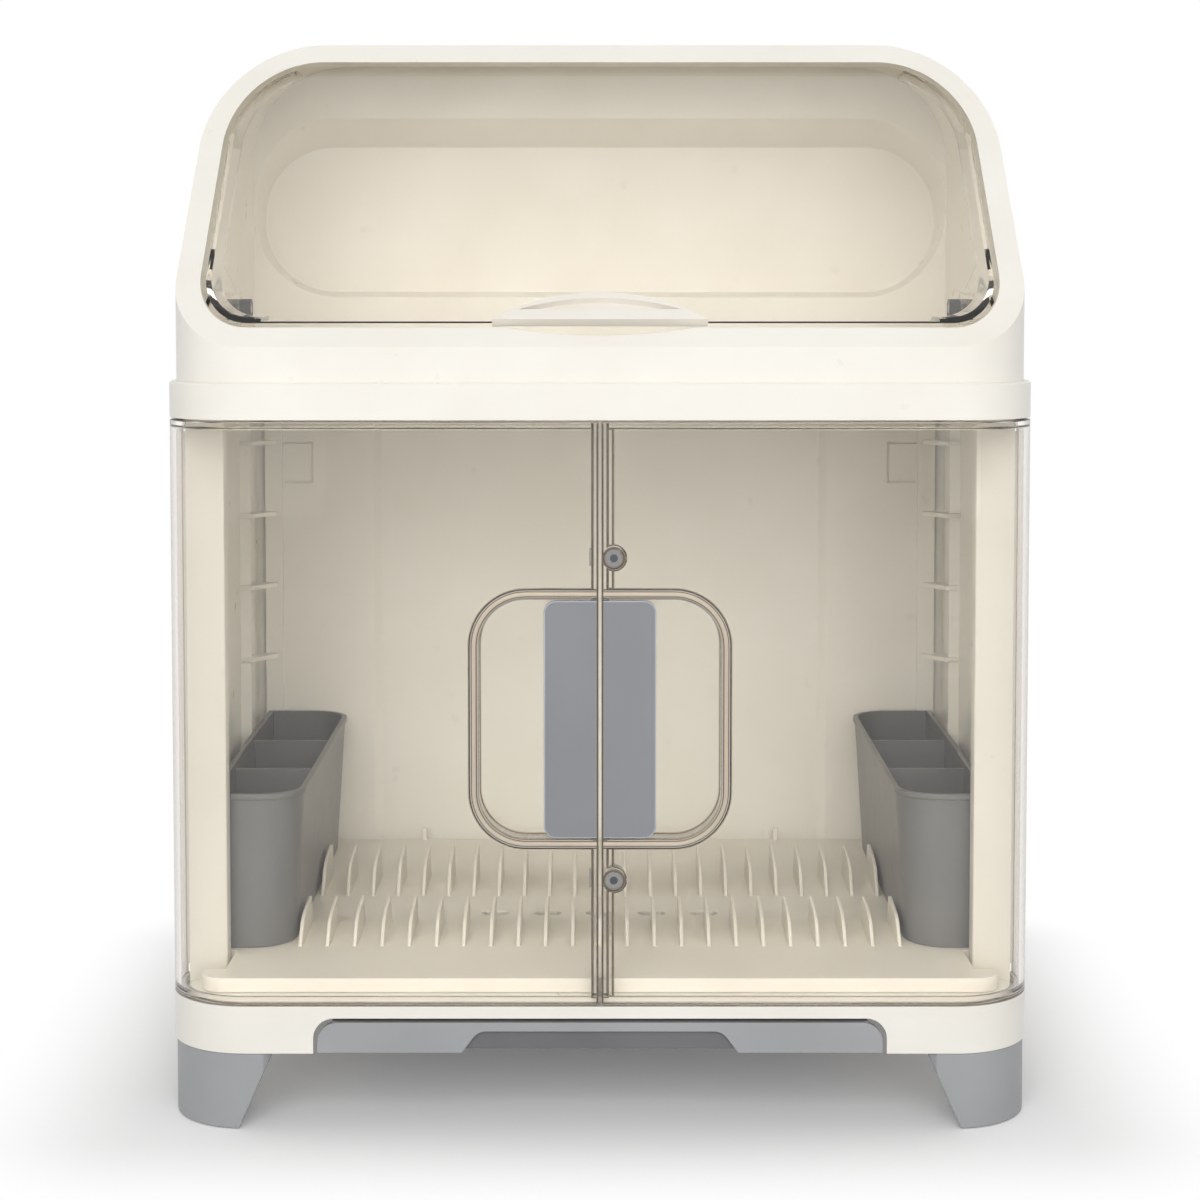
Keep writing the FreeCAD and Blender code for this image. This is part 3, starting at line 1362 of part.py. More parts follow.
def make_lid():
    top = "-(wall + lid_drop)"
    under = "-(wall + lid_drop + lid_thickness)"
    hem = "-(wall + lid_drop + lid_skirt)"
    outer = common("lid_outer", [lid_prism("lid_edge", "lid_play"), slab("lid_depth", top, hem)])
    inner = common("lid_inner", [lid_prism("lid_inside", "lid_play + lid_skirt_wall"),
                                 slab("lid_hollow", under, f"{hem} - 5")])
    keep = f"({HALF} - hood_inset - opening_side - lid_play - lid_corner_reach)"
    low = slope_point("-40", under)
    middle = common("lid_middle", [
        slab("lid_middle_depth", under, f"{hem} - 5"),
        box("lid_middle_block", (f"-{keep}", keep), (FRONT, "depth / 2"), (BAND_TOP, HOOD_TOP)),
    ])
    edge = f"({HALF} - hood_inset - opening_side - lid_play)"
    arms = []
    holes = []
    for sign in (-1, 1):
        side = "left" if sign < 0 else "right"
        body = new_body(f"lid_arm_{side}")
        level = f"{sign} * ({edge} - lid_skirt_wall / 2)"
        root_low = slope_point("opening_low_round + 4", under)
        root_high = slope_point("90", hem)
        profile = [
            root_low,
            (f"{PIVOT_Y}", f"{PIVOT_Z} - pivot_boss", "pivot_boss - 0.2"),
            (f"{PIVOT_Y} + pivot_boss", f"{PIVOT_Z} - pivot_boss", "pivot_boss - 0.5"),
            (f"{PIVOT_Y} + pivot_boss", f"{PIVOT_Z} + pivot_boss", "pivot_boss - 0.5"),
            (f"{PIVOT_Y} - pivot_boss", f"{PIVOT_Z} + pivot_boss", "12"),
            root_high,
        ]
        profile[1:2] = []
        pad(body, f"lid_arm_{side}_plate",
            outline(body, f"lid_arm_{side}_side", "YZ_Plane", level, profile),
            "lid_skirt_wall", symmetric=True)
        arms.append(body)
        holes.append(rod(f"lid_hole_{side}", "X", "pivot_radius + 2 * pin_clearance",
                         "lid_skirt_wall * 4", f"{level} - lid_skirt_wall * 2",
                         PIVOT_Y, PIVOT_Z))
    tray = cut("lid_tray", outer, fuse("lid_removed", [inner, middle]))
    whole = cut("lid_drilled", fuse("lid_whole", [tray, *arms]), fuse("lid_holes", holes))
    node(whole, "lid")


make_lid()


# Lid handle: a raised crescent at the lid's lower edge with a sunk lens.
def make_lid_handle():
    body = new_body("lid_handle")
    body.Placement = FreeCAD.Placement(FreeCAD.Vector(), FreeCAD.Rotation(FreeCAD.Vector(1, 0, 0), 42))
    body.setExpression("Placement.Base.y", bound(SLOPE_START))
    body.setExpression("Placement.Base.z", bound(LIP_TOP))
    body.setExpression("Placement.Rotation.Angle", bound("atan(slope_rise / slope_run)"))
    level = "-(wall + lid_drop)"
    pad(body, "crescent",
        segment(body, "crescent_face", "XY_Plane", level, "lid_handle_width / 2",
                "lid_handle_start + lid_play", "lid_handle_height - lid_play"),
        "lid_handle_rise")
    pocket(body, "crescent_lens",
           segment(body, "lens_face", "XY_Plane", f"{level} + lid_handle_rise",
                   "lid_handle_width * 0.38", "lid_handle_start + lid_handle_height * 0.42",
                   "lid_handle_height * 0.38"),
           "lid_handle_rise * 0.7")
    node(body, "lid_handle")


make_lid_handle()


# Lid pivots: a pin from each hood boss through the lid's arm, kept by a
# U-shaped clip on its inner end.
def make_pivots():
    inner = f"({HALF} - hood_inset - wall)"
    cheek = f"({HALF} - hood_inset - opening_side - lid_play - lid_skirt_wall)"
    tip = f"({cheek} - seat_gap - clip_length)"
    for sign in (-1, 1):
        side = "left" if sign < 0 else "right"
        length = f"({inner} - {tip})"
        start = tip if sign > 0 else f"-{inner}"
        node(rod(f"pivot_pin_{side}", "X", "pivot_radius", length, start, PIVOT_Y, PIVOT_Z),
             f"lid_pivot_pin_{side}")
        body = new_body(f"lid_pivot_clip_{side}")
        half = "(clip_size / 2)"
        face = [
            (f"{PIVOT_Y} - {half}", f"{PIVOT_Z} - {half}"),
            (f"{PIVOT_Y} - {half}", f"{PIVOT_Z} + {half} / 2"),
            (f"{PIVOT_Y} - {half} / 2", f"{PIVOT_Z} + {half}"),
            (f"{PIVOT_Y} + {half} / 2", f"{PIVOT_Z} + {half}"),
            (f"{PIVOT_Y} + {half}", f"{PIVOT_Z} + {half} / 2"),
            (f"{PIVOT_Y} + {half}", f"{PIVOT_Z} - {half}"),
        ]
        level = f"{sign} * ({cheek} - seat_gap - clip_length / 2)"
        pad(body, f"clip_{side}", outline(body, f"clip_side_{side}", "YZ_Plane", level, face),
            "clip_length", symmetric=True)
        throat = "(pivot_radius + pin_clearance)"
        mouth = [
            (f"{PIVOT_Y} - {throat}", f"{PIVOT_Z} - {half} - 1"),
            (f"{PIVOT_Y} - {throat}", f"{PIVOT_Z} + {throat}", f"{throat} - 0.01"),
            (f"{PIVOT_Y} + {throat}", f"{PIVOT_Z} + {throat}", f"{throat} - 0.01"),
            (f"{PIVOT_Y} + {throat}", f"{PIVOT_Z} - {half} - 1"),
        ]
        pocket(body, f"clip_mouth_{side}",
               outline(body, f"clip_mouth_side_{side}", "YZ_Plane", level, mouth),
               "2 * clip_length", symmetric=True)
        node(body, f"lid_pivot_clip_{side}")


make_pivots()


# Everything is built; each object is tested before any file is written.
doc.recompute()
for item in doc.Objects:
    if "Invalid" in item.State or "Error" in item.State:
        raise RuntimeError(f"{item.Label} failed: {item.State}")
for item in nodes:
    if item.Shape.isNull() or not item.Shape.isValid():
        raise RuntimeError(f"{item.Label} has no sound shape")

os.makedirs("parts", exist_ok=True)
for item in nodes:
    item.Shape.exportStep(f"parts/{item.Label}.step")
    print(item.Label, len(item.Shape.Solids), round(item.Shape.Volume / 1000, 1))
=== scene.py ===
import json
import math

import bpy
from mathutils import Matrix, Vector


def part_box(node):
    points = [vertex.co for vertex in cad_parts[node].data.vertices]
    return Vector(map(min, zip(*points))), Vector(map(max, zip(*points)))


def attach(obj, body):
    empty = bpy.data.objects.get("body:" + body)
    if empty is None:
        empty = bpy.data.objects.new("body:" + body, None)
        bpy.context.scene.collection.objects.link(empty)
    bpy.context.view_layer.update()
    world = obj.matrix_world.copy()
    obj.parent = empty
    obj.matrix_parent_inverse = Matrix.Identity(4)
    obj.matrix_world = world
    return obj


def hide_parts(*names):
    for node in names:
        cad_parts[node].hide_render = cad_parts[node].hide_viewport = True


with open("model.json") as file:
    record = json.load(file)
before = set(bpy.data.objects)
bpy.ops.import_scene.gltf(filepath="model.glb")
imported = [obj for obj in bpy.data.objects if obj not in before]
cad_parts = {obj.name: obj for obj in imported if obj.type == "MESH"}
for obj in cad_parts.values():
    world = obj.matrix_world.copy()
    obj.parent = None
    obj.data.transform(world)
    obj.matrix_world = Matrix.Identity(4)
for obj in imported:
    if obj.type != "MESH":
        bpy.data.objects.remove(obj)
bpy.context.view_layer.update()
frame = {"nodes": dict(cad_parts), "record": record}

# Feet: four hollow feet of grey polypropylene, injection moulded and pushed on
# to the base's underside. The surface is satin from a finely etched mould.
BODY_OF = {node: body for body, nodes in frame["record"]["behaviour"]["bodies"].items()
           for node in nodes}


def linear(code):
    """An sRGB hex colour as the linear values that a shader takes."""
    parts = [int(code[i:i + 2], 16) / 255 for i in (1, 3, 5)]
    return [p / 12.92 if p <= 0.04045 else ((p + 0.055) / 1.055) ** 2.4 for p in parts] + [1.0]


def add(tree, kind, settings=(), links=()):
    """A node with its settings, given by socket or property, and its links."""
    node = tree.nodes.new(kind)
    for key, value in dict(settings).items():
        if key in node.inputs:
            node.inputs[key].default_value = value
        else:
            setattr(node, key, value)
    for key, source in dict(links).items():
        tree.links.new(source, node.inputs[key])
    return node


def moulded(name, light, dark, rough, grain_mm, depth_mm, ior):
    """A moulded plastic: tone that drifts over 60 mm, gloss that varies, fine grain."""
    drift_size, sheen_size = 0.06, 0.012
    material = bpy.data.materials.new(name)
    material.use_nodes = True
    tree = material.node_tree
    tree.nodes.clear()
    place = add(tree, "ShaderNodeTexCoord").outputs["Object"]
    drift = add(tree, "ShaderNodeTexNoise", {"Scale": 1 / drift_size, "Detail": 3.0},
                {"Vector": place})
    tone = add(tree, "ShaderNodeValToRGB", {}, {"Fac": drift.outputs["Fac"]})
    tone.color_ramp.elements[0].position = 0.3
    tone.color_ramp.elements[0].color = linear(dark)
    tone.color_ramp.elements[1].position = 0.7
    tone.color_ramp.elements[1].color = linear(light)
    sheen = add(tree, "ShaderNodeTexNoise", {"Scale": 1 / sheen_size, "Detail": 4.0},
                {"Vector": place})
    gloss = add(tree, "ShaderNodeMapRange", {"To Min": rough[0], "To Max": rough[1]},
                {"Value": sheen.outputs["Fac"]})
    grain = add(tree, "ShaderNodeTexNoise", {"Scale": 1000 / grain_mm, "Detail": 2.0},
                {"Vector": place})
    bump = add(tree, "ShaderNodeBump", {"Strength": 1.0, "Distance": depth_mm / 1000},
               {"Height": grain.outputs["Fac"]})
    shader = add(tree, "ShaderNodeBsdfPrincipled", {"IOR": ior},
                 {"Base Color": tone.outputs["Color"], "Roughness": gloss.outputs["Result"],
                  "Normal": bump.outputs["Normal"]})
    add(tree, "ShaderNodeOutputMaterial", {}, {"Surface": shader.outputs["BSDF"]})
    return material


def eased(node, material, round_mm, segments=2, edge_material=None, clamp=True,
          joined=True):
    """Stands for a CAD node: its triangles joined, its edges rounded, its curves smooth.

    The rounded strips take edge_material where there is one. Without clamp the strips keep
    their full width, and without joined the triangles stay as they are.
    """
    weld, flat, corner, curve = 0.00002, 0.5, 30, 32
    bpy.ops.object.select_all(action="DESELECT")
    piece = bpy.data.objects.new(f"{node}_moulding", frame["nodes"][node].data.copy())
    bpy.context.collection.objects.link(piece)
    piece.data.materials.clear()
    for finish in (material, edge_material):
        if finish:
            piece.data.materials.append(finish)
    piece.select_set(True)
    bpy.context.view_layer.objects.active = piece
    bpy.ops.object.mode_set(mode="EDIT")
    bpy.ops.mesh.select_all(action="SELECT")
    bpy.ops.mesh.remove_doubles(threshold=weld)
    if joined:
        bpy.ops.mesh.dissolve_limited(angle_limit=math.radians(flat))
    bpy.ops.object.mode_set(mode="OBJECT")
    if round_mm:
        edge = piece.modifiers.new("edge_round", "BEVEL")
        edge.width = round_mm / 1000
        edge.segments = segments
        edge.limit_method = "ANGLE"
        edge.angle_limit = math.radians(corner)
        edge.use_clamp_overlap = clamp
        if edge_material:
            edge.material = 1
        bpy.ops.object.modifier_apply(modifier=edge.name)
    bpy.ops.object.shade_smooth_by_angle(angle=math.radians(curve))
    weight = piece.modifiers.new("flat_faces_first", "WEIGHTED_NORMAL")
    weight.keep_sharp = True
    bpy.ops.object.modifier_apply(modifier=weight.name)
    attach(piece, BODY_OF[node])
    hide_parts(node)
    return piece


# Polypropylene: IOR 1.49, satin; the etched grain is drawn at 1.2 mm so that it shows.
grey_pp = moulded("grey_polypropylene_satin", "#A6A7A9", "#9E9FA1", (0.38, 0.5), 1.2, 0.006, 1.49)
for foot in ("foot_front_left", "foot_front_right", "foot_rear_left", "foot_rear_right"):
    eased(foot, grey_pp, 2.5, 3)

# Base: one cream ABS moulding with a set-in plinth, an opening over the drawer
# and rails on its underside. It is glossy outside from a polished mould.
# ABS: IOR 1.52, a tight highlight; the grain is finer than it is drawn.
cream_abs = moulded("cream_abs_moulded", "#F5F2EA", "#F0ECE2", (0.24, 0.36), 0.9, 0.008, 1.52)
eased("base_frame", cream_abs, 0.8)

# Drip drawer: a grey polypropylene tray that slides on its rims, with a flush
# front and a cut-out for the fingers. The wall behind the cut-out carries painted shade: a dark,
# dull grey that stands for the shadow in the cut-out.
drawer = eased("drip_drawer", grey_pp, 0.8)
painted_grip_shade = moulded("grey_polypropylene_painted_grip_shade", "#727274", "#68686A", (0.6, 0.75), 0.8, 0.02, 1.49)
drawer.data.materials.append(painted_grip_shade)
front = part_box("drip_drawer")[0][1]
GRIP_START, GRIP_DEPTH, GRIP_HALF = 0.002, 0.04, 0.075
# Painted shade: the front- and down-facing faces inside the grip cut-out take the dark grey.
for face in drawer.data.polygons:
    centre = face.center
    at_grip = front + GRIP_START < centre.y < front + GRIP_DEPTH and abs(centre.x) < GRIP_HALF
    faces_fingers = face.normal.y < -0.2 or face.normal.z < -0.5
    if at_grip and faces_fingers:
        face.material_index = 1

# Side panels: cream ABS skins, each with its front pillar, pilaster and four
# ledges in one moulding, clipped between base and band.
for panel in ("left_side_panel", "right_side_panel"):
    eased(panel, cream_abs, 0.5)

# Back panel: a cream ABS sheet moulding with corner posts, a centre field set
# back by a slant, and two snap hooks near the top.
eased("back_panel", cream_abs, 0.5)

# Lower drain tray: cream ABS with two rows of plate fins, slots above the
# drawer and pegs at its rear. It is duller than the shell, as it is handled.
tray_abs = moulded("cream_abs_tray", "#F2EDE2", "#ECE6DA", (0.3, 0.42), 1.1, 0.012, 1.52)
eased("lower_drain_tray", tray_abs, 0.6)

# Cutlery holders: tall tapered cups of darker grey polypropylene, pulled
# straight out of the mould, with a rim and two dividers.
holder_pp = moulded("dark_grey_polypropylene", "#727273", "#6A6A6B", (0.3, 0.42), 1.2, 0.005,
                    1.49)
for holder in ("cutlery_holder_left", "cutlery_holder_right"):
    eased(holder, holder_pp, 0.5)

# Band: the cream ABS frame that ties the sides together and carries the upper
# tray in a rebate; its outer edge is rounded.
eased("top_band", cream_abs, 1.2, 3)

# Upper drain tray: the same cream ABS as the lower one, moulded with slots and
# two rows of ribs, and dropped into the band's rebate.
eased("upper_drain_tray", tray_abs, 0.4)

# Hood: an arched cream ABS shell cut off by its sloping face, with a thumb
# scoop in the front lip, a recess moulded into the rear wall and a boss on each
# side for the lid.
eased("hood", cream_abs, 0.9, 3)


# Doors: clear polystyrene moulded in polished tools, each wrapped round a front
# corner. Long shallow flow waves show in the gloss. Edges are painted brown where
# the eye looks along the wall: partly the plastic's tint through its depth, partly painted shade
# for dark refraction.
def clear_styrene(name, tint, edge_tint, start, end, passed):
    """A clear wall, tinted from start to end of its turn away, partly its own tint through its
    depth and partly painted shade; its shadow light passed on.
    """
    haze_size, wave_size, wave_depth = 0.03, 0.05, 0.0002
    material = bpy.data.materials.new(name)
    material.use_nodes = True
    tree = material.node_tree
    tree.nodes.clear()
    place = add(tree, "ShaderNodeTexCoord").outputs["Object"]
    haze = add(tree, "ShaderNodeTexNoise", {"Scale": 1 / haze_size, "Detail": 3.0},
               {"Vector": place})
    gloss = add(tree, "ShaderNodeMapRange", {"To Min": 0.0, "To Max": 0.03},
                {"Value": haze.outputs["Fac"]})
    wave = add(tree, "ShaderNodeTexNoise", {"Scale": 1 / wave_size, "Detail": 1.0},
               {"Vector": place})
    bump = add(tree, "ShaderNodeBump", {"Strength": 0.2, "Distance": wave_depth},
               {"Height": wave.outputs["Fac"]})
    turn = add(tree, "ShaderNodeLayerWeight", {"Blend": 0.5})
    along = add(tree, "ShaderNodeMapRange", {"From Min": start, "From Max": end,
                                            "interpolation_type": "SMOOTHSTEP"},
                {"Value": turn.outputs["Facing"]})
    colour = add(tree, "ShaderNodeMix", {"data_type": "RGBA"})
    tree.links.new(along.outputs["Result"], colour.inputs[0])
    colour.inputs[6].default_value = linear(tint)
    colour.inputs[7].default_value = linear(edge_tint)
    shader = add(tree, "ShaderNodeBsdfPrincipled", {"IOR": 1.45, "Transmission Weight": 1.0},
                 {"Base Color": colour.outputs[2], "Roughness": gloss.outputs["Result"],
                  "Normal": bump.outputs["Normal"]})
    passing = add(tree, "ShaderNodeBsdfTransparent", {"Color": linear(passed)})
    shadow = add(tree, "ShaderNodeLightPath").outputs["Is Shadow Ray"]
    mixed = add(tree, "ShaderNodeMixShader", {}, {"Fac": shadow})
    tree.links.new(shader.outputs["BSDF"], mixed.inputs[1])
    tree.links.new(passing.outputs["BSDF"], mixed.inputs[2])
    add(tree, "ShaderNodeOutputMaterial", {}, {"Surface": mixed.outputs["Shader"]})
    return material


def styrene_edge(name, middle, side, rim):
    """Rods and edges, brown-grey at the sides: partly the wall's tint through its depth, partly
    painted shade, with a painted highlight between.
    """
    streak_size, painted_highlight = 0.02, "#FBF8F2"
    material = bpy.data.materials.new(name)
    material.use_nodes = True
    tree = material.node_tree
    tree.nodes.clear()
    place = add(tree, "ShaderNodeTexCoord").outputs["Object"]
    streak = add(tree, "ShaderNodeTexNoise", {"Scale": 1 / streak_size, "Detail": 3.0},
                 {"Vector": place})
    gloss = add(tree, "ShaderNodeMapRange", {"To Min": 0.03, "To Max": 0.09},
                {"Value": streak.outputs["Fac"]})
    turn = add(tree, "ShaderNodeLayerWeight", {"Blend": 0.5})
    tone = add(tree, "ShaderNodeValToRGB", {}, {"Fac": turn.outputs["Facing"]})
    tone.color_ramp.elements[0].position = 0.06
    tone.color_ramp.elements[0].color = linear(middle)
    tone.color_ramp.elements[1].position = 0.6
    tone.color_ramp.elements[1].color = linear(side)
    # The bright band between the dark ones is a painted highlight; the dark bands are partly
    # painted refraction shade.
    for turned, colour in ((0.14, rim), (0.27, painted_highlight), (0.42, side)):
        tone.color_ramp.elements.new(turned).color = linear(colour)
    shader = add(tree, "ShaderNodeBsdfPrincipled", {"IOR": 1.5, "Transmission Weight": 0.25},
                 {"Base Color": tone.outputs["Color"], "Roughness": gloss.outputs["Result"]})
    add(tree, "ShaderNodeOutputMaterial", {}, {"Surface": shader.outputs["BSDF"]})
    return material


def cup_rim(door, sign, material):
    """The round bead of the finger cup: three sides of a rectangle with turned corners."""
    low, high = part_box(f"handle_plate_{door}")
    middle_z = (low[2] + high[2]) / 2
    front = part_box(f"door_{door}")[0][1]
    meeting, reach, half, bend, radius = 0.00075, 0.0617, 0.0615, 0.0255, 0.0025
    play, weld = 0.0001, 0.00001
    bpy.ops.object.select_all(action="DESELECT")
    bpy.ops.mesh.primitive_plane_add(size=1)
    rim = bpy.context.object
    rim.name = f"cup_rim_{door}"
    bpy.ops.object.mode_set(mode="EDIT")
    bpy.ops.transform.resize(value=(reach - meeting, 2 * half, 1))
    bpy.ops.transform.translate(value=(sign * (meeting + reach) / 2, 0, 0))
    bpy.ops.mesh.delete(type="ONLY_FACE")
    bpy.context.tool_settings.mesh_select_mode = (False, True, False)
    bpy.ops.mesh.select_all(action="DESELECT")
    bpy.ops.object.mode_set(mode="OBJECT")
    for edge in rim.data.edges:
        ends = [rim.data.vertices[v].co for v in edge.vertices]
        edge.select = all(abs(end.x) < reach / 2 for end in ends)
    bpy.ops.object.mode_set(mode="EDIT")
    bpy.ops.mesh.delete(type="EDGE")
    bpy.context.tool_settings.mesh_select_mode = (True, False, False)
    bpy.ops.mesh.select_all(action="DESELECT")
    bpy.ops.object.mode_set(mode="OBJECT")
    for vertex in rim.data.vertices:
        vertex.select = abs(vertex.co.x) > reach / 2
    bpy.ops.object.mode_set(mode="EDIT")
    bpy.ops.mesh.bevel(offset=bend, segments=14, affect="VERTICES")
    bpy.ops.object.mode_set(mode="OBJECT")
    bpy.ops.object.convert(target="CURVE")
    rim.data.dimensions = "3D"
    rim.data.bevel_depth = radius
    rim.data.bevel_resolution = 5
    rim.data.use_fill_caps = True
    bpy.ops.object.convert(target="MESH")
    rim = bpy.context.object
    for vertex in rim.data.vertices:
        x, y, z = vertex.co
        vertex.co = (x, front + radius + play + z, y + middle_z)
    bpy.ops.object.mode_set(mode="EDIT")
    bpy.ops.mesh.select_all(action="SELECT")
    bpy.ops.mesh.remove_doubles(threshold=weld)
    bpy.ops.mesh.normals_make_consistent(inside=False)
    bpy.ops.object.mode_set(mode="OBJECT")
    bpy.ops.object.shade_smooth_by_angle(angle=math.radians(50))
    rim.data.materials.clear()
    rim.data.materials.append(material)
    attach(rim, f"{door}_door")


# The door edge and flange edge finishes have brown sides that are partly the plastic's tint and
# partly painted refraction shade, with a painted highlight band.
door_styrene = clear_styrene("clear_styrene_polished", "#FCFAF6", "#A89C90", 0.45, 0.9, "#FFFEFC")
door_edge = styrene_edge("clear_styrene_door_edge", "#D9CBB8", "#5C4B3C", "#33261D")
flange_edge = styrene_edge("clear_styrene_flange_edge", "#6B5A49", "#7A6855", "#4A3B2F")
SKIN, MEETING_SKIN, FLANGE_REACH = 0.001, 0.0015, 0.013
LINE_X, LINE_SETBACK, LINE_WIDTH, LINE_DEPTH, LINE_PLAY = 0.00125, 0.0011, 0.001, 0.002, 0.001
for door, sign in (("left", -1), ("right", 1)):
    panel = eased(f"door_{door}", door_styrene, 0.6, 2, door_edge, False)
    panel.data.materials.append(flange_edge)
    low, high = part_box(f"door_{door}")
    for face in panel.data.polygons:
        centre = face.center
        at_end = centre.z < low[2] + SKIN or centre.z > high[2] - SKIN
        at_rail = at_end and abs(face.normal.z) > 0.9
        meeting = abs(centre.x) < MEETING_SKIN and abs(face.normal.x) > 0.9
        # Painted shade: rounded strips near the meeting flange, the rails and the meeting faces
        # take the dark edge finishes.
        if abs(centre.x) < FLANGE_REACH and face.material_index == 1:
            face.material_index = 2
        if at_rail or meeting:
            face.material_index = 1
    # The cup's bead takes the door edge finish, with painted shade at its sides and a painted
    # highlight along it.
    cup_rim(door, sign, door_edge)
    # A thin strip of the dark flange finish in each meeting flange paints the brown line where
    # the doors meet; the line is partly the plastic's tint and partly painted shade.
    bpy.ops.object.select_all(action="DESELECT")
    bpy.ops.mesh.primitive_cube_add(size=1, location=(sign * LINE_X, low[1] + LINE_SETBACK,
                                                      (low[2] + high[2]) / 2))
    strip = bpy.context.object
    strip.name = f"meeting_painted_line_{door}"
    strip.scale = (LINE_WIDTH, LINE_DEPTH, high[2] - low[2] - 2 * LINE_PLAY)
    bpy.ops.object.transform_apply(location=True, rotation=True, scale=True)
    soft = strip.modifiers.new("round", "BEVEL")
    soft.width = 0.0003
    soft.segments = 3
    bpy.ops.object.modifier_apply(modifier=soft.name)
    bpy.ops.object.shade_smooth_by_angle(angle=math.radians(50))
    strip.data.materials.append(flange_edge)
    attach(strip, f"{door}_door")

# Latch seats: a raised clear ring round each latch disc, moulded in one with the
# right door and drawn in the dark flange finish, with painted shade at its sides, and a dark
# magnet face at the middle of the disc.
low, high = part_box("latch_magnets")
radius = (high[0] - low[0]) / 2
ferrite = moulded("dark_ferrite", "#4C5258", "#3E4349", (0.3, 0.45), 0.8, 0.01, 1.6)
RING_PLAY, RING_BEAD, RING_SETBACK = 0.0006, 0.0008, 0.0009
CORE_SHARE, CORE_DEPTH, CORE_SETBACK = 0.45, 0.0008, 0.0003
for side, height in (("upper", high[2] - radius), ("lower", low[2] + radius)):
    centre = ((low[0] + high[0]) / 2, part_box("door_right")[0][1] + RING_SETBACK, height)
    bpy.ops.object.select_all(action="DESELECT")
    bpy.ops.mesh.primitive_torus_add(major_radius=radius + RING_PLAY, minor_radius=RING_BEAD,
                                     major_segments=48, minor_segments=12,
                                     rotation=(math.pi / 2, 0, 0), location=centre)
    ring = bpy.context.object
    ring.name = f"latch_ring_{side}"
    bpy.ops.object.transform_apply(location=True, rotation=True, scale=True)
    bpy.ops.object.shade_smooth()
    ring.data.materials.append(flange_edge)
    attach(ring, "right_door")
    bpy.ops.object.select_all(action="DESELECT")
    bpy.ops.mesh.primitive_cylinder_add(radius=radius * CORE_SHARE, depth=CORE_DEPTH, vertices=32,
                                        rotation=(math.pi / 2, 0, 0),
                                        location=(centre[0], low[1] + CORE_SETBACK, height))
    core = bpy.context.object
    core.name = f"latch_core_{side}"
    bpy.ops.object.transform_apply(location=True, rotation=True, scale=True)
    bpy.ops.object.shade_smooth_by_angle(angle=math.radians(40))
    core.data.materials.append(ferrite)
    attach(core, "right_door")

# Handle plates: grey polypropylene grips set flush in the finger cups, each on
# two posts. Their faces are fine satin, and the rounded edge carries a painted highlight in pale
# blue-grey.
plate_pp = moulded("grey_polypropylene_fine", "#8D8E91", "#87888B", (0.3, 0.4), 1.0, 0.008, 1.49)
# Painted highlight: the rounded edge is lighter and bluer than the face, standing for its glint.
plate_rim_highlight = moulded("grey_polypropylene_painted_rim_highlight", "#BAC3CE", "#AEB7C2", (0.2, 0.3), 1.0, 0.005, 1.49)
for plate in ("handle_plate_left", "handle_plate_right"):
    eased(plate, plate_pp, 0.6, 2, plate_rim_highlight)


# Hinge pins, latch discs and catches: steel, nickel plated and barrel polished.
# The pins and discs are turned and pressed in, and the catches are small blocks.
def plated(name, light, dark, rough):
    """A plated metal whose tone and polish vary in clouds about 2 mm across."""
    cloud_size = 0.002
    material = bpy.data.materials.new(name)
    material.use_nodes = True
    tree = material.node_tree
    tree.nodes.clear()
    place = add(tree, "ShaderNodeTexCoord").outputs["Object"]
    cloud = add(tree, "ShaderNodeTexNoise", {"Scale": 1 / cloud_size, "Detail": 4.0},
                {"Vector": place})
    tone = add(tree, "ShaderNodeValToRGB", {}, {"Fac": cloud.outputs["Fac"]})
    tone.color_ramp.elements[0].color = linear(dark)
    tone.color_ramp.elements[1].color = linear(light)
    gloss = add(tree, "ShaderNodeMapRange", {"To Min": rough[0], "To Max": rough[1]},
                {"Value": cloud.outputs["Fac"]})
    shader = add(tree, "ShaderNodeBsdfPrincipled", {"Metallic": 1.0},
                 {"Base Color": tone.outputs["Color"], "Roughness": gloss.outputs["Result"]})
    add(tree, "ShaderNodeOutputMaterial", {}, {"Surface": shader.outputs["BSDF"]})
    return material


nickel = plated("nickel_plated_steel", "#A5A3A0", "#8F8D8A", (0.22, 0.38))
for metal in ("hinge_pins_left", "hinge_pins_right", "latch_magnets", "latch_catches"):
    eased(metal, nickel, 0.3)

# Lid and its pull: a clear styrene panel with wrap-round cheeks, and a raised
# crescent welded to its lower edge. The pull is thick and looks pale, as its
# many faces throw the light back; that paleness is a painted reflection, drawn as an opaque pale
# colour.
lid_styrene = clear_styrene("clear_styrene_lid", "#FBF9F6", "#B4B0AE", 0.6, 0.98, "#F4F1EC")
# The lid's turned-away tint and edge finish are partly its own tint and partly painted shade,
# with a painted highlight band at the edges.
lid_edge = styrene_edge("clear_styrene_lid_edge", "#E4E1DE", "#A09D9D", "#77747A")
eased("lid", lid_styrene, 0.6, 2, lid_edge)
pull = moulded("pale_styrene_pull", "#F4EFE6", "#ECE6DC", (0.08, 0.16), 1.0, 0.004, 1.59)
eased("lid_handle", pull, 0.5, 2, joined=False)

# Lid pivots: a plated pin from each hood boss through the lid's arm, kept by a
# small clip of dark acetal, injection moulded and matt.
for metal in ("lid_pivot_pin_left", "lid_pivot_pin_right"):
    eased(metal, nickel, 0.3)
acetal = moulded("dark_acetal", "#3A3836", "#2E2C2B", (0.35, 0.5), 0.8, 0.01, 1.48)
for clip in ("lid_pivot_clip_left", "lid_pivot_clip_right"):
    eased(clip, acetal, 0.6)

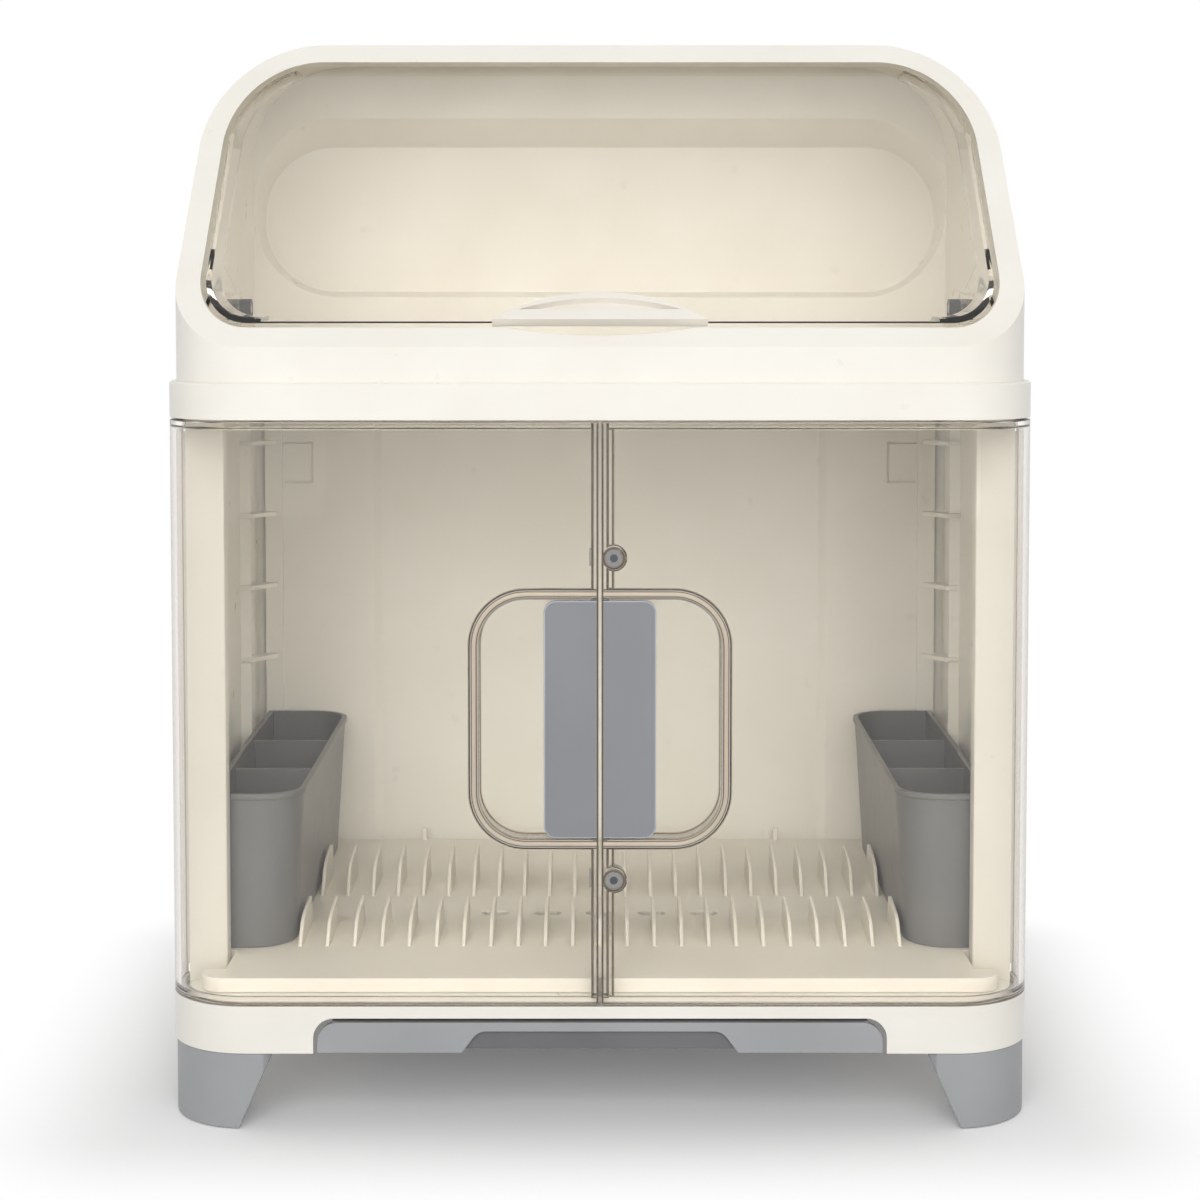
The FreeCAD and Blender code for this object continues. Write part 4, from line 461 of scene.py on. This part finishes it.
# The studio: a pale floor that turns white within 110 mm of the cabinet's foot
# and keeps its shadow, a white surround, broad soft lamps in front and above,
# and a camera level with the lid.
FLOOR_SIZE, FLOOR_DROP, PAPER_LIFT, WHITE_REACH, SURROUND = 12, 0.0002, 0.1, 0.11, 0.45
bpy.ops.object.select_all(action="DESELECT")
bpy.ops.mesh.primitive_plane_add(size=FLOOR_SIZE, location=(0, 0, -FLOOR_DROP))
floor = bpy.context.object
floor.name = "floor"
sweep = bpy.data.materials.new("pale_sweep_paper")
sweep.use_nodes = True
tree = sweep.node_tree
tree.nodes.clear()
spot = add(tree, "ShaderNodeTexCoord").outputs["Object"]
fibre = add(tree, "ShaderNodeTexNoise", {"Scale": 300.0}, {"Vector": spot})
dull = add(tree, "ShaderNodeMapRange", {"To Min": 0.75, "To Max": 0.85},
           {"Value": fibre.outputs["Fac"]})
paper = add(tree, "ShaderNodeBsdfPrincipled", {},
            {"Roughness": dull.outputs["Result"]})
white = add(tree, "ShaderNodeEmission", {"Color": linear("#FFFFFF"), "Strength": 1.0})
outside = spot
foot_half = (0.215, 0.1675, 0)
for step, reach in (("ABSOLUTE", None), ("SUBTRACT", foot_half), ("MAXIMUM", (0, 0, 0))):
    part = add(tree, "ShaderNodeVectorMath", {"operation": step})
    tree.links.new(outside, part.inputs[0])
    if reach:
        part.inputs[1].default_value = reach
    outside = part.outputs["Vector"]
distance = add(tree, "ShaderNodeVectorMath", {"operation": "LENGTH"}, {"Vector": outside})
far = add(tree, "ShaderNodeMapRange", {"From Min": 0.0, "From Max": WHITE_REACH,
                                       "interpolation_type": "SMOOTHSTEP"},
          {"Value": distance.outputs["Value"]})


def seen_by(tree):
    """One for camera, mirror and see-through rays, less after a dull surface, else nought."""
    loss_at_each = 0.15
    path = add(tree, "ShaderNodeLightPath")
    total = path.outputs["Is Camera Ray"]
    for ray in ("Is Glossy Ray", "Is Transmission Ray"):
        both = add(tree, "ShaderNodeMath", {"operation": "MAXIMUM"})
        tree.links.new(total, both.inputs[0])
        tree.links.new(path.outputs[ray], both.inputs[1])
        total = both.outputs["Value"]
    dull_hits = add(tree, "ShaderNodeMath", {"operation": "MULTIPLY_ADD", "use_clamp": True})
    tree.links.new(path.outputs["Diffuse Depth"], dull_hits.inputs[0])
    dull_hits.inputs[1].default_value = -loss_at_each
    tree.links.new(total, dull_hits.inputs[2])
    return dull_hits.outputs["Value"]


seen = seen_by(tree)
shade = add(tree, "ShaderNodeMix", {"data_type": "RGBA"})
tree.links.new(seen, shade.inputs[0])
shade.inputs[6].default_value = linear("#DCDCDC")
shade.inputs[7].default_value = linear("#FDFDFD")
tree.links.new(shade.outputs[2], paper.inputs["Base Color"])
lift = add(tree, "ShaderNodeMath", {"operation": "MULTIPLY"})
tree.links.new(seen, lift.inputs[0])
lift.inputs[1].default_value = PAPER_LIFT
paper.inputs["Emission Color"].default_value = linear("#FFFFFF")
tree.links.new(lift.outputs["Value"], paper.inputs["Emission Strength"])
share = add(tree, "ShaderNodeMath", {"operation": "MULTIPLY"})
tree.links.new(far.outputs["Result"], share.inputs[0])
tree.links.new(seen, share.inputs[1])
ground = add(tree, "ShaderNodeMixShader", {}, {"Fac": share.outputs["Value"]})
tree.links.new(paper.outputs["BSDF"], ground.inputs[1])
tree.links.new(white.outputs["Emission"], ground.inputs[2])
add(tree, "ShaderNodeOutputMaterial", {}, {"Surface": ground.outputs["Shader"]})
floor.data.materials.append(sweep)

world = bpy.data.worlds.new("white_surround")
bpy.context.scene.world = world
world.use_nodes = True
tree = world.node_tree
tree.nodes.clear()
level = add(tree, "ShaderNodeMapRange", {"To Min": SURROUND, "To Max": 1.0})
tree.links.new(seen_by(tree), level.inputs["Value"])
glow = add(tree, "ShaderNodeBackground", {"Color": linear("#FFFFFF")},
           {"Strength": level.outputs["Result"]})
add(tree, "ShaderNodeOutputWorld", {}, {"Surface": glow.outputs["Background"]})


def lamp(name, place, target, size, power):
    """A square soft box that points at a place on the object."""
    light = bpy.data.lights.new(name, "AREA")
    light.size = size
    light.energy = power
    holder = bpy.data.objects.new(name, light)
    bpy.context.collection.objects.link(holder)
    holder.location = place
    aim = Vector(target) - Vector(place)
    holder.rotation_euler = aim.to_track_quat("-Z", "Y").to_euler()
    holder.visible_glossy = False


lamp("key_softbox", (-0.2, -2.8, 1.45), (0, 0, 0.2), 2.0, 38)
lamp("left_softbox", (-1.3, -3.0, 0.6), (0, 0, 0.2), 1.8, 9)
lamp("right_softbox", (1.4, -3.0, 0.6), (0, 0, 0.2), 1.8, 13)
lamp("top_softbox", (0.1, 0.4, 2.1), (0, 0, 0.3), 1.4, 4)

camera = bpy.data.cameras.new("camera")
camera.sensor_width = 36
camera.lens = 74.4
camera.shift_y = -0.15
eye = bpy.data.objects.new("camera", camera)
bpy.context.collection.objects.link(eye)
eye.location = (0, -1.3675, 0.4179)
eye.rotation_euler = (math.radians(90 - 3.23), 0, 0)
bpy.context.scene.camera = eye
bpy.context.scene.view_settings.view_transform = "Standard"
